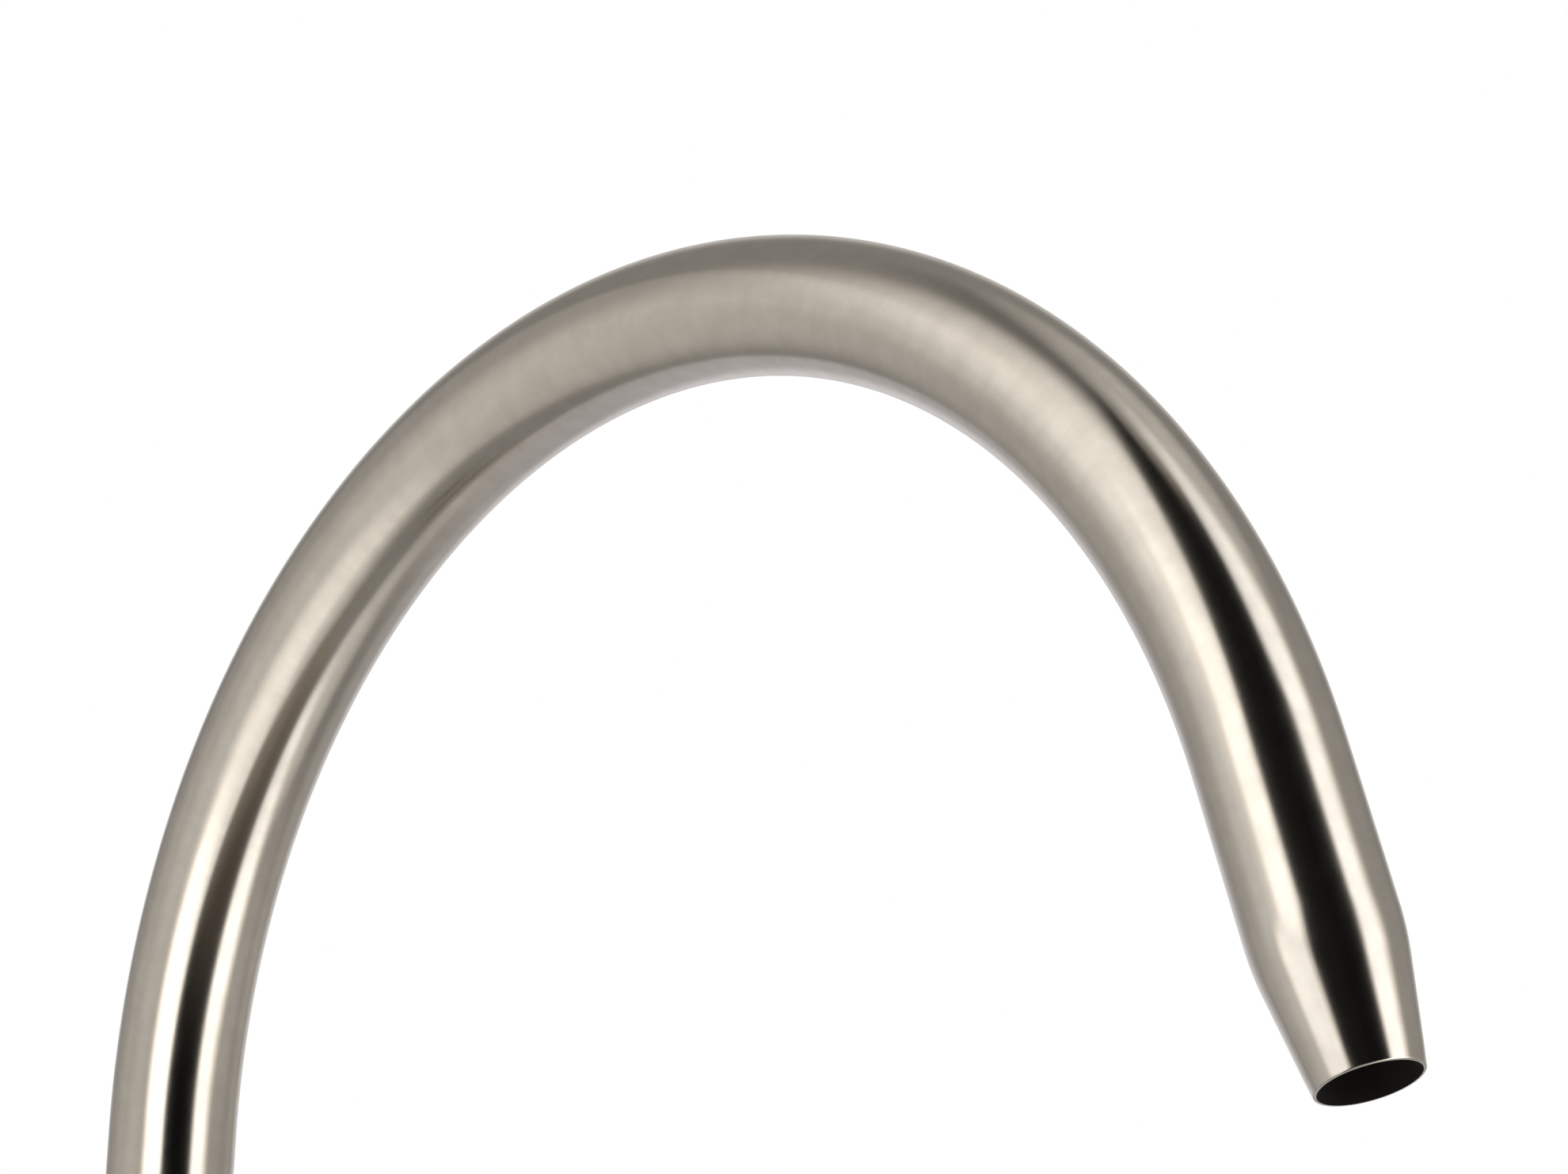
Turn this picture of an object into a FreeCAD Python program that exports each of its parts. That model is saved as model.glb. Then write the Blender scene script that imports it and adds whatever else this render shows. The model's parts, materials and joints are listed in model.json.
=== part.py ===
import FreeCAD, Part
import os
import re
import Sketcher

# Water purifier faucet: a swivelling gooseneck spout on a small valve body with a side lever, a threaded
# shank that clamps through a worktop, and a push-fit coupling for the feed tube.
#
# Frame: millimetres, +Z up, origin where the shank's axis meets the worktop's upper face.
# The spout reaches along +X and the lever's valve sticks out along -Y.

# Driving dimensions in millimetres and degrees. Each one becomes a named cell of the sheet.
SIZES = {
    # spout tube
    "tube_od": 10.0,
    "tube_wall": 0.5,
    "riser_rise": 120.4,
    "bend_radius": 58.9,
    "bend_angle": 156.4,
    "tail_length": 13.4,
    "swage_length": 8.9,
    "mouth_od": 7.2,
    # foot of the spout, sealed in the body's socket
    "ferrule_ledge": 2.0,
    "ferrule_wall": 1.1,
    "ferrule_head": 6.2,
    "spout_ring_section": 1.8,
    "spout_ring_inset": 4.5,
    "spout_ring_spacing": 7.0,
    "bearing_thick": 1.5,
    "bush_flange_thick": 1.5,
    "bush_wall": 1.2,
    "bush_recess": 0.6,
    # collar nut
    "collar_wall": 2.65,
    "collar_hood": 10.5,
    "collar_rim": 6.0,
    "collar_lip": 1.5,
    "collar_round": 3.0,
    # valve body
    "body_edge": 0.5,
    "branch_blend": 2.5,
    "neck_wall": 2.3,
    "neck_height": 8.0,
    "plenum_step": 1.0,
    "plenum_depth": 4.0,
    "outlet_rise": 6.0,
    "outlet_d": 5.0,
    "branch_wall": 2.5,
    "valve_floor": 5.5,
    "inlet_d": 6.0,
    "seat_wall": 1.5,
    # ceramic cartridge
    "seal_thick": 2.5,
    "seal_width": 2.6,
    "disc_od": 12.2,
    "disc_thick": 3.0,
    "port_core_d": 3.6,
    "port_rim": 1.2,
    "port_angle": 80.0,
    "tang_width": 2.4,
    "tang_length": 8.0,
    "tang_depth": 1.4,
    "stem_d": 7.0,
    "stem_step": 0.5,
    "stem_foot_thick": 2.5,
    "stem_grip": 9.0,
    "stem_flat": 0.5,
    "stem_ring_section": 1.6,
    "stem_ring_inset": 4.0,
    "clip_thick": 0.9,
    "clip_width": 2.0,
    "clip_bite": 0.7,
    "housing_wall": 0.8,
    "gallery_gap": 0.95,
    "gallery_tail": 3.0,
    "housing_land": 1.5,
    "housing_thread": 7.0,
    "housing_flange_lip": 1.0,
    "housing_flange_thick": 2.5,
    "housing_ring_section": 1.5,
    "window_width": 5.0,
    # lever handle
    "hub_gap": 0.5,
    "hub_cover": 4.7,
    "hub_round": 1.6,
    "skirt_room": 2.8,
    "rod_inset": 5.0,
    "rod_floor": 2.95,
    "rod_base_d": 6.0,
    "rod_tip_d": 5.2,
    "rod_length": 50.0,
    "rod_round": 2.0,
    "screw_d": 4.0,
    "screw_hex": 2.0,
    "plug_thick": 2.0,
    # base and shank
    "flange_lip": 3.25,
    "flange_cover": 1.2,
    "flange_rise": 4.4,
    "flange_land": 1.5,
    "flange_round": 1.2,
    "gasket_od": 41.0,
    "gasket_thick": 2.0,
    "gasket_proud": 0.6,
    "shank_bore": 6.4,
    "shank_wall": 2.35,
    "shank_engage": 11.0,
    "shank_chamfer": 1.0,
    "shank_seal_thick": 1.5,
    # clamp under the worktop
    "deck_thickness": 25.0,
    "washer_width": 11.2,
    "rubber_thick": 3.0,
    "plate_thick": 1.5,
    "lock_width": 3.7,
    "lock_thick": 1.2,
    "lock_notch": 1.4,
    "lock_notch_depth": 1.9,
    "nut_wall": 3.85,
    "nut_thick": 8.0,
    "clamp_reserve": 9.3,
    # push-fit coupling for the feed tube
    "adapter_engage": 10.0,
    "adapter_wall": 2.1,
    "adapter_hex_step": 0.8,
    "adapter_gasket_thick": 1.5,
    "adapter_web": 2.0,
    "feed_tube_d": 6.35,
    "tube_stop_lip": 1.0,
    "tube_stop_depth": 7.0,
    "port_ring_section": 1.7,
    "port_ring_room": 2.4,
    "grip_thick": 0.4,
    "grip_seat": 0.4,
    "grip_slit": 0.5,
    "grip_tooth": 1.2,
    "cap_length": 6.8,
    "cap_wall": 0.9,
    "collet_wall": 0.95,
    "collet_nose": 1.0,
    "collet_flange": 2.0,
    "collet_flange_lip": 1.0,
    "collet_travel": 1.5,
    # clearances, the last one along an O-ring's groove
    "fit_gap": 0.05,
    "seal_gap": 0.05,
    "turn_gap": 0.06,
    "loose_gap": 0.25,
    "end_play": 0.3,
    "groove_room": 0.4,
}

# Counts and angles that belong to the design.
LOCK_TEETH = 14
GRIP_TEETH = 8
HEX_SIDES = 6
FULL_TURN = 360.0
HALF_TURN = 180.0
QUARTER_TURN = 90.0
# Two lengths closer than this are the same length.
TOUCH = 1e-4

# Radii, from the inside out, as expressions of the driving dimensions.
TUBE_R = "(tube_od / 2)"
TUBE_BORE_R = "(tube_od / 2 - tube_wall)"
TUBE_SEAT_R = f"({TUBE_R} + fit_gap)"
GROOVE_FLOOR_R = f"({TUBE_SEAT_R} + ferrule_wall)"
SPOUT_RING_R = f"({GROOVE_FLOOR_R} + spout_ring_section)"
SOCKET_R = f"({SPOUT_RING_R} + seal_gap)"
FERRULE_R = f"({SOCKET_R} - end_play)"
PLENUM_R = f"({TUBE_BORE_R} + plenum_step)"
NECK_R = f"({SOCKET_R} + neck_wall)"
NECK_HOLE_R = f"({NECK_R} + fit_gap)"
BODY_R = f"({NECK_HOLE_R} + collar_wall)"
BUSH_BORE_R = f"({TUBE_R} + turn_gap)"
BUSH_R = f"({BUSH_BORE_R} + bush_wall)"
COLLAR_BORE_R = f"({BUSH_R} + fit_gap)"
COLLAR_TOP_R = f"({COLLAR_BORE_R} + collar_lip)"
GASKET_R = "(gasket_od / 2)"
GASKET_HOLE_R = f"({GASKET_R} + loose_gap)"
FLANGE_R = f"({GASKET_HOLE_R} + flange_lip)"
FLANGE_LAND_R = f"({BODY_R} + flange_land)"
SHANK_BORE_R = "(shank_bore / 2)"
SHANK_R = f"({SHANK_BORE_R} + shank_wall)"
SHANK_HOLE_R = f"({SHANK_R} + fit_gap)"
SEAL_WASHER_R = f"({SHANK_R} - fit_gap)"
CLAMP_HOLE_R = f"({SHANK_R} + loose_gap)"
WASHER_R = f"({CLAMP_HOLE_R} + washer_width)"
LOCK_R = f"({CLAMP_HOLE_R} + lock_width)"
NUT_HOLE_R = f"({SHANK_HOLE_R} + fit_gap)"
NUT_FLAT_R = f"({NUT_HOLE_R} + nut_wall)"
NUT_CORNER_R = f"({NUT_FLAT_R} * 2 / sqrt(3))"
DISC_R = "(disc_od / 2)"
PORT_R = f"({DISC_R} - port_rim)"
SEAL_BORE_R = f"({DISC_R} - seal_width)"
STEM_R = "(stem_d / 2)"
STEM_HOLE_R = f"({STEM_R} + turn_gap)"
STEM_RING_R = f"({STEM_HOLE_R} - seal_gap)"
STEM_TIP_R = f"({STEM_R} - stem_step)"
STEM_TIP_HOLE_R = f"({STEM_TIP_R} + fit_gap)"
FLAT_R = f"({STEM_TIP_R} - stem_flat)"
CLIP_FLOOR_R = f"({STEM_R} - clip_bite)"
HOUSING_BORE_R = f"({DISC_R} + end_play / 2)"
HOUSING_R = f"({HOUSING_BORE_R} + housing_wall)"
CHAMBER_R = f"({HOUSING_R} + gallery_gap)"
THREAD_R = f"({CHAMBER_R} - fit_gap)"
HOUSING_RING_R = f"({CHAMBER_R} - seal_gap)"
HOUSING_FLANGE_R = f"({CHAMBER_R} + housing_flange_lip)"
SKIRT_R = f"({HOUSING_FLANGE_R} + end_play)"
BRANCH_R = f"({CHAMBER_R} + branch_wall)"
SCREW_R = "(screw_d / 2)"
SCREW_HOLE_R = f"({SCREW_R} + fit_gap)"
ROD_BASE_R = "(rod_base_d / 2)"
ROD_TIP_R = "(rod_tip_d / 2)"
ROD_FLOOR_R = f"({STEM_TIP_HOLE_R} + rod_floor)"
COLLET_BORE_R = "(feed_tube_d / 2 + turn_gap)"
COLLET_R = f"({COLLET_BORE_R} + collet_wall)"
CAP_BORE_R = f"({COLLET_R} + 2 * turn_gap)"
WEB_HOLE_R = f"({COLLET_BORE_R} - tube_stop_lip)"
PORT_RING_R = f"({COLLET_BORE_R} + port_ring_section)"
RING_ROOM_R = f"({PORT_RING_R} + seal_gap)"
POCKET_R = f"max({RING_ROOM_R} + grip_seat; {CAP_BORE_R} + cap_wall + fit_gap)"
POCKET_FIT_R = f"({POCKET_R} - fit_gap)"
COLLET_NOSE_R = f"({CAP_BORE_R} + cap_wall / 2)"
COLLET_FLANGE_R = f"({POCKET_R} + collet_flange_lip)"
ADAPTER_R = f"(max({SHANK_HOLE_R}; {POCKET_R}) + adapter_wall)"
ADAPTER_FLAT_R = f"({ADAPTER_R} + adapter_hex_step)"

# Stations along the valve's axis, counted outwards from the body's own axis.
SEAT = "(inlet_d / 2 + seat_wall)"
SEAL_END = f"({SEAT} + seal_thick)"
MOVING_START = f"({SEAL_END} + disc_thick + seal_gap)"
MOVING_END = f"({MOVING_START} + disc_thick)"
STEM_FOOT_END = f"({MOVING_END} + stem_foot_thick)"
HOUSING_START = f"({SEAT} + end_play)"
HOUSING_NECK = f"({STEM_FOOT_END} + end_play)"
STEM_GROOVE = f"({HOUSING_NECK} + stem_ring_inset)"
STEM_GROOVE_END = f"({STEM_GROOVE} + stem_ring_section + groove_room)"
GALLERY_END = f"({HOUSING_NECK} + gallery_tail)"
HOUSING_GROOVE = f"({GALLERY_END} + housing_land)"
HOUSING_GROOVE_END = f"({HOUSING_GROOVE} + housing_ring_section + groove_room)"
BRANCH_END = f"({HOUSING_GROOVE_END} + housing_thread)"
HOUSING_END = f"({BRANCH_END} + housing_flange_thick)"
CLIP_START = f"({HOUSING_END} + end_play)"
CLIP_END = f"({CLIP_START} + clip_thick)"
HUB_START = f"({BRANCH_END} + hub_gap)"
SKIRT_END = f"({CLIP_END} + skirt_room)"
STEM_END = f"({SKIRT_END} + stem_grip)"
STEM_HOLE_END = f"({STEM_END} + end_play)"
HUB_END = f"({STEM_HOLE_END} + hub_cover)"
LEVER_LINE = f"({SKIRT_END} + rod_inset)"

# Levels along +Z, from the worktop up.
RECESS_DEPTH = "(gasket_thick - gasket_proud)"
FLANGE_RIM = f"(gasket_proud + {RECESS_DEPTH} + flange_cover)"
FLANGE_TOP = f"({FLANGE_RIM} + flange_rise)"
SHANK_TOP = f"({FLANGE_TOP} + shank_engage)"
SHANK_SOCKET_TOP = f"({SHANK_TOP} + shank_seal_thick)"
VALVE_LEVEL = f"({SHANK_SOCKET_TOP} + valve_floor + {CHAMBER_R})"
CHAMBER_TOP = f"({VALVE_LEVEL} + {CHAMBER_R})"
PLENUM_FLOOR = f"({CHAMBER_TOP} + outlet_rise)"
SOCKET_LEDGE = f"({PLENUM_FLOOR} + plenum_depth)"
FERRULE_FOOT = f"({SOCKET_LEDGE} + bearing_thick + end_play)"
TUBE_FOOT = f"({FERRULE_FOOT} + ferrule_ledge)"
FIRST_GROOVE = f"({FERRULE_FOOT} + spout_ring_inset)"
SECOND_GROOVE = f"({FIRST_GROOVE} + spout_ring_spacing)"
SPOUT_GROOVE_WIDTH = "(spout_ring_section + groove_room)"
FERRULE_TOP = f"({SECOND_GROOVE} + {SPOUT_GROOVE_WIDTH} + ferrule_head)"
NECK_TOP = f"({FERRULE_TOP} + end_play)"
BODY_TOP = f"({NECK_TOP} - neck_height)"
COLLAR_STEP = f"({NECK_TOP} + bush_flange_thick)"
COLLAR_RIM = f"({BODY_TOP} + collar_rim)"
COLLAR_TOP = f"({COLLAR_STEP} + collar_hood)"
BUSH_TOP = f"({COLLAR_TOP} - bush_recess)"
BEND_START = f"({COLLAR_TOP} + riser_rise)"
ROD_FOOT = f"({VALVE_LEVEL} + {ROD_FLOOR_R})"
ROD_SHOULDER = f"({VALVE_LEVEL} + {BRANCH_R})"
ROD_TOP = f"({ROD_SHOULDER} + rod_length)"
SCREW_TOP = f"({VALVE_LEVEL} - {FLAT_R} - fit_gap)"
PLUG_FOOT = f"({VALVE_LEVEL} - {BRANCH_R} + end_play)"
PLUG_TOP = f"({PLUG_FOOT} + plug_thick)"
SCREW_FOOT = f"({PLUG_TOP} + end_play)"

# Levels from the worktop down.
RUBBER_FOOT = "(-deck_thickness - rubber_thick)"
PLATE_FOOT = f"({RUBBER_FOOT} - plate_thick)"
LOCK_FOOT = f"({PLATE_FOOT} - lock_thick)"
NUT_FOOT = f"({LOCK_FOOT} - nut_thick)"
ADAPTER_TOP = f"({NUT_FOOT} - clamp_reserve)"
SHANK_END = f"({ADAPTER_TOP} - adapter_engage)"
ADAPTER_SEAT = f"({SHANK_END} - adapter_gasket_thick)"
STOP_TOP = f"({ADAPTER_SEAT} - adapter_web)"
STOP_END = f"({STOP_TOP} - tube_stop_depth)"
RING_ROOM_END = f"({STOP_END} - port_ring_room)"
GRIP_END = f"({RING_ROOM_END} - grip_thick)"
NOSE_TOP = f"({GRIP_END} - collet_travel - end_play)"
NOSE_END = f"({NOSE_TOP} - collet_nose)"
CAP_TOP = f"({NOSE_END} - fit_gap)"
ADAPTER_END = f"({CAP_TOP} - cap_length)"
COLLET_FLANGE_TOP = f"({ADAPTER_END} - collet_travel - end_play)"
COLLET_END = f"({COLLET_FLANGE_TOP} - collet_flange)"

X_AXIS = FreeCAD.Vector(1, 0, 0)
Y_AXIS = FreeCAD.Vector(0, 1, 0)
Z_AXIS = FreeCAD.Vector(0, 0, 1)
# A piece turned outward has its local +Z along the valve's axis (world -Y) and its local +Y up.
OUTWARD = FreeCAD.Rotation(X_AXIS, QUARTER_TURN)
TO_LOCAL_UP = FreeCAD.Rotation(X_AXIS, -QUARTER_TURN)
TO_LOCAL_DOWN = FreeCAD.Rotation(X_AXIS, QUARTER_TURN)
# The bend's torus starts at the riser, on the -X side of its centre, and climbs towards +Z.
BEND_FRAME = FreeCAD.Rotation(-X_AXIS, Z_AXIS, Y_AXIS, "ZXY")

doc = FreeCAD.newDocument("water_purifier_faucet")
sheet = doc.addObject("Spreadsheet::Sheet", "dims")
for row, (size_name, size) in enumerate(SIZES.items(), start=1):
    sheet.set(f"A{row}", size_name)
    sheet.set(f"B{row}", str(size))
    sheet.setAlias(f"B{row}", size_name)
doc.recompute()

sub_parts = []


# Helpers: expressions and placement


def bound(text):
    """The expression with every driving dimension written as a cell of the sheet."""
    return re.sub(r"[a-z_]+", lambda word: f"dims.{word[0]}" if word[0] in SIZES else word[0], text)


def number(text):
    """The expression's value now."""
    return float(sheet.evalExpression(bound(text)))


def bind(piece, **properties):
    """Ties properties of a piece to expressions."""
    for name, text in properties.items():
        piece.setExpression(name, bound(text))


def place(piece, x="0", y="0", z="0", turn=None):
    """Puts a piece's origin at expressions, turned by a fixed rotation."""
    if turn is not None:
        piece.Placement = FreeCAD.Placement(FreeCAD.Vector(), turn)
    for axis, text in zip("xyz", (x, y, z)):
        piece.setExpression(f"Placement.Base.{axis}", bound(text))
    return piece


def spin(piece, axis, angle):
    """Turns a piece about an axis by an angle in degrees, given as an expression."""
    piece.Placement = FreeCAD.Placement(piece.Placement.Base, FreeCAD.Rotation(axis, QUARTER_TURN))
    piece.setExpression("Placement.Rotation.Angle", bound(f"({angle}) * 1deg"))
    return piece


def on_valve_axis(piece, station="0"):
    """Puts a piece on the valve's axis, pointing outwards from that station."""
    return place(piece, y=f"-{station}", z=VALVE_LEVEL, turn=OUTWARD)


def keep(piece, label):
    """Names a finished piece as a sub-part."""
    piece.Label = label
    sub_parts.append(piece)
    return piece


# Helpers: PartDesign bodies


def outline_sketch(body, label, corners):
    """A closed outline on the body's upright plane; its (radius, height) corners are expressions."""
    plane = next(part for part in body.Origin.OriginFeatures if part.Role == "XZ_Plane")
    sketch = body.newObject("Sketcher::SketchObject", label)
    sketch.AttachmentSupport = [(plane, "")]
    sketch.MapMode = "FlatFace"
    points = [FreeCAD.Vector(number(radius), number(height), 0) for radius, height in corners]
    count = len(points)
    for index, point in enumerate(points):
        sketch.addGeometry(Part.LineSegment(point, points[(index + 1) % count]), False)
    for index in range(count):
        sketch.addConstraint(Sketcher.Constraint("Coincident", index, 2, (index + 1) % count, 1))
    for index, (radius, height) in enumerate(corners):
        for kind, text in (("DistanceX", radius), ("DistanceY", height)):
            constraint = sketch.addConstraint(Sketcher.Constraint(kind, -1, 1, index, 1, number(text)))
            sketch.setExpression(f"Constraints[{constraint}]", bound(text))
    return sketch


def turned(label, corners):
    """A lathe-turned body: the outline revolved about its local Z axis."""
    body = doc.addObject("PartDesign::Body", f"{label}_body")
    sketch = outline_sketch(body, f"{label}_outline", corners)
    revolution = body.newObject("PartDesign::Revolution", f"{label}_turned")
    revolution.Profile = sketch
    revolution.ReferenceAxis = (sketch, ["V_Axis"])
    revolution.Angle = FULL_TURN
    doc.recompute()
    return body


def ring(label, inner_radius, outer_radius, foot, top):
    """A plain turned ring."""
    corners = [(inner_radius, foot), (outer_radius, foot), (outer_radius, top), (inner_radius, top)]
    return turned(label, corners)


def check_cut(body, before, label):
    """Stops the build if a cut took nothing away."""
    doc.recompute()
    if body.Shape.Volume > before - TOUCH:
        raise RuntimeError(f"{label} cuts nothing")


def hollow(body, label, corners):
    """Cuts a turned hollow out of a body."""
    before = body.Shape.Volume
    sketch = outline_sketch(body, f"{label}_outline", corners)
    groove = body.newObject("PartDesign::Groove", label)
    groove.Profile = sketch
    groove.ReferenceAxis = (sketch, ["V_Axis"])
    groove.Angle = FULL_TURN
    check_cut(body, before, label)


def drill(body, label, radius, length, **where):
    """Drills a round hole into a body."""
    before = body.Shape.Volume
    hole = body.newObject("PartDesign::SubtractiveCylinder", label)
    bind(hole, Radius=radius, Height=length)
    place(hole, **where)
    check_cut(body, before, label)


def mill(body, label, width, depth, height, **where):
    """Cuts a block out of a body and returns the cut."""
    before = body.Shape.Volume
    block = body.newObject("PartDesign::SubtractiveBox", label)
    bind(block, Length=width, Width=depth, Height=height)
    place(block, **where)
    check_cut(body, before, label)
    return block


def repeat_around(body, feature, count):
    """Repeats a cut evenly around the body's turning axis."""
    before = body.Shape.Volume
    outline = next(part for part in body.Group if part.TypeId == "Sketcher::SketchObject")
    pattern = body.newObject("PartDesign::PolarPattern", f"{feature.Name}_pattern")
    pattern.Originals = [feature]
    pattern.Axis = (outline, ["V_Axis"])
    pattern.Angle = FULL_TURN
    pattern.Occurrences = count
    body.Tip = pattern
    check_cut(body, before, pattern.Name)


def soften(body, kind, size, edges):
    """Fillets or chamfers edges of a body's latest shape, given by their names."""
    base = body.Tip
    feature = body.newObject(f"PartDesign::{kind}", f"{base.Name}_{kind.lower()}")
    feature.Base = (base, edges)
    bind(feature, **{"Radius" if kind == "Fillet" else "Size": size})
    doc.recompute()


def round_edges(body, *places):
    """Names of the round edges about the body's Z axis at (radius, height) places."""
    names = []
    for radius, height in places:
        spot = (number(radius), number(height))
        found = [
            f"Edge{index}"
            for index, edge in enumerate(body.Tip.Shape.Edges, start=1)
            if isinstance(edge.Curve, Part.Circle)
            and abs(edge.Curve.Radius - spot[0]) < TOUCH
            and abs(edge.Curve.Center.z - spot[1]) < TOUCH
        ]
        if not found:
            raise RuntimeError(f"{body.Name} has no round edge at radius {spot[0]}, height {spot[1]}")
        names += found
    return names


# Helpers: Part primitives and booleans


def rod(label, radius, length, **where):
    piece = doc.addObject("Part::Cylinder", label)
    bind(piece, Radius=radius, Height=length)
    return place(piece, **where)


def seal_ring(label, outer_radius, section):
    """An O-ring of round section that reaches out to the given radius."""
    piece = doc.addObject("Part::Torus", label)
    bind(piece, Radius1=f"{outer_radius} - {section} / 2", Radius2=f"{section} / 2")
    return piece


def hex_prism(label, flat_radius, length, **where):
    piece = doc.addObject("Part::Prism", label)
    piece.Polygon = HEX_SIDES
    bind(piece, Circumradius=f"{flat_radius} * 2 / sqrt(3)", Height=length)
    return place(piece, **where)


def fuse(label, pieces):
    piece = doc.addObject("Part::MultiFuse", label)
    piece.Shapes = pieces
    return piece


def cut(label, base, tool):
    piece = doc.addObject("Part::Cut", label)
    piece.Base = base
    piece.Tool = tool
    return piece


# Spout: riser, bend, straight tail and swaged mouth, all bored through


def spout_core(label, radius, mouth_radius):
    """The spout as a solid of one radius that narrows to another at the mouth."""
    bend_end_x = "bend_radius * (1 - cos(bend_angle * 1deg))"
    bend_end_z = f"{BEND_START} + bend_radius * sin(bend_angle * 1deg)"
    riser = rod(f"{label}_riser", radius, f"{BEND_START} - {TUBE_FOOT}", z=TUBE_FOOT)
    bend = doc.addObject("Part::Torus", f"{label}_bend")
    bind(bend, Radius1="bend_radius", Radius2=radius, Angle3="bend_angle * 1deg")
    place(bend, x="bend_radius", z=BEND_START, turn=BEND_FRAME)
    tail = rod(f"{label}_tail", radius, "tail_length", x=bend_end_x, z=bend_end_z)
    swage = doc.addObject("Part::Cone", f"{label}_swage")
    bind(swage, Radius1=radius, Radius2=mouth_radius, Height="swage_length")
    place(
        swage,
        x=f"{bend_end_x} + tail_length * sin(bend_angle * 1deg)",
        z=f"{bend_end_z} + tail_length * cos(bend_angle * 1deg)",
    )
    for straight in (tail, swage):
        spin(straight, Y_AXIS, "bend_angle")
    return fuse(f"{label}_core", [riser, bend, tail, swage])


spout_outside = spout_core("spout_outside", TUBE_R, "mouth_od / 2")
spout_bore = spout_core("spout_bore", TUBE_BORE_R, "(mouth_od / 2 - tube_wall)")
keep(cut("spout_tube_bored", spout_outside, spout_bore), "spout_tube")

# The brazed foot of the spout: a sleeve round the tube with a ledge under it and two O-ring grooves.
ferrule = turned(
    "spout_ferrule",
    [
        (TUBE_BORE_R, FERRULE_FOOT),
        (FERRULE_R, FERRULE_FOOT),
        (FERRULE_R, FIRST_GROOVE),
        (GROOVE_FLOOR_R, FIRST_GROOVE),
        (GROOVE_FLOOR_R, f"{FIRST_GROOVE} + {SPOUT_GROOVE_WIDTH}"),
        (FERRULE_R, f"{FIRST_GROOVE} + {SPOUT_GROOVE_WIDTH}"),
        (FERRULE_R, SECOND_GROOVE),
        (GROOVE_FLOOR_R, SECOND_GROOVE),
        (GROOVE_FLOOR_R, f"{SECOND_GROOVE} + {SPOUT_GROOVE_WIDTH}"),
        (FERRULE_R, f"{SECOND_GROOVE} + {SPOUT_GROOVE_WIDTH}"),
        (FERRULE_R, FERRULE_TOP),
        (TUBE_SEAT_R, FERRULE_TOP),
        (TUBE_SEAT_R, TUBE_FOOT),
        (TUBE_BORE_R, TUBE_FOOT),
    ],
)
keep(ferrule, "spout_ferrule")

spout_rings = []
for place_name, groove in (("lower", FIRST_GROOVE), ("upper", SECOND_GROOVE)):
    spout_ring = seal_ring(f"spout_ring_{place_name}", SPOUT_RING_R, "spout_ring_section")
    spout_rings.append(place(spout_ring, z=f"{groove} + {SPOUT_GROOVE_WIDTH} / 2"))
ring_pair = doc.addObject("Part::Compound", "spout_ring_pair")
ring_pair.Links = spout_rings
keep(ring_pair, "spout_o_rings")

# Slip ring under the spout's foot, and the flanged bush that guides the tube in the collar nut.
keep(
    ring("spout_bearing_washer", PLENUM_R, FERRULE_R, SOCKET_LEDGE, f"{SOCKET_LEDGE} + bearing_thick"),
    "spout_bearing_washer",
)
bush = turned(
    "spout_bush",
    [
        (BUSH_BORE_R, NECK_TOP),
        (NECK_R, NECK_TOP),
        (NECK_R, COLLAR_STEP),
        (BUSH_R, COLLAR_STEP),
        (BUSH_R, BUSH_TOP),
        (BUSH_BORE_R, BUSH_TOP),
    ],
)
keep(bush, "spout_bush")

# Collar nut: screws over the body's neck and narrows to the tube.
collar = turned(
    "collar_nut",
    [
        (NECK_HOLE_R, BODY_TOP),
        (f"{BODY_R} - body_edge", BODY_TOP),
        (BODY_R, f"{BODY_TOP} + body_edge"),
        (BODY_R, COLLAR_RIM),
        (COLLAR_TOP_R, COLLAR_TOP),
        (COLLAR_BORE_R, COLLAR_TOP),
        (COLLAR_BORE_R, COLLAR_STEP),
        (NECK_HOLE_R, COLLAR_STEP),
    ],
)
soften(collar, "Fillet", "collar_round", round_edges(collar, (BODY_R, COLLAR_RIM)))
soften(collar, "Fillet", "body_edge", round_edges(collar, (COLLAR_TOP_R, COLLAR_TOP)))
keep(collar, "collar_nut")

# Valve body: barrel with a threaded neck, a side branch for the cartridge and drilled water passages.
body = turned(
    "valve_body",
    [
        ("0", FLANGE_TOP),
        (f"{BODY_R} - body_edge", FLANGE_TOP),
        (BODY_R, f"{FLANGE_TOP} + body_edge"),
        (BODY_R, f"{BODY_TOP} - body_edge"),
        (f"{BODY_R} - body_edge", BODY_TOP),
        (NECK_R, BODY_TOP),
        (NECK_R, NECK_TOP),
        ("0", NECK_TOP),
    ],
)
branch = body.newObject("PartDesign::AdditiveCylinder", "valve_branch")
bind(branch, Radius=BRANCH_R, Height=BRANCH_END)
on_valve_axis(branch)
doc.recompute()
saddle = [
    f"Edge{index}"
    for index, edge in enumerate(branch.Shape.Edges, start=1)
    if not isinstance(edge.Curve, (Part.Circle, Part.Line)) and edge.BoundBox.YMax < 0
]
soften(body, "Fillet", "branch_blend", saddle)
branch_rim = [
    f"Edge{index}"
    for index, edge in enumerate(body.Tip.Shape.Edges, start=1)
    if isinstance(edge.Curve, Part.Circle) and abs(edge.BoundBox.YMax + number(BRANCH_END)) < TOUCH
]
soften(body, "Chamfer", "body_edge", branch_rim)
hollow(
    body,
    "spout_socket",
    [
        ("0", PLENUM_FLOOR),
        (PLENUM_R, PLENUM_FLOOR),
        (PLENUM_R, SOCKET_LEDGE),
        (SOCKET_R, SOCKET_LEDGE),
        (SOCKET_R, NECK_TOP),
        ("0", NECK_TOP),
    ],
)
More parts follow.
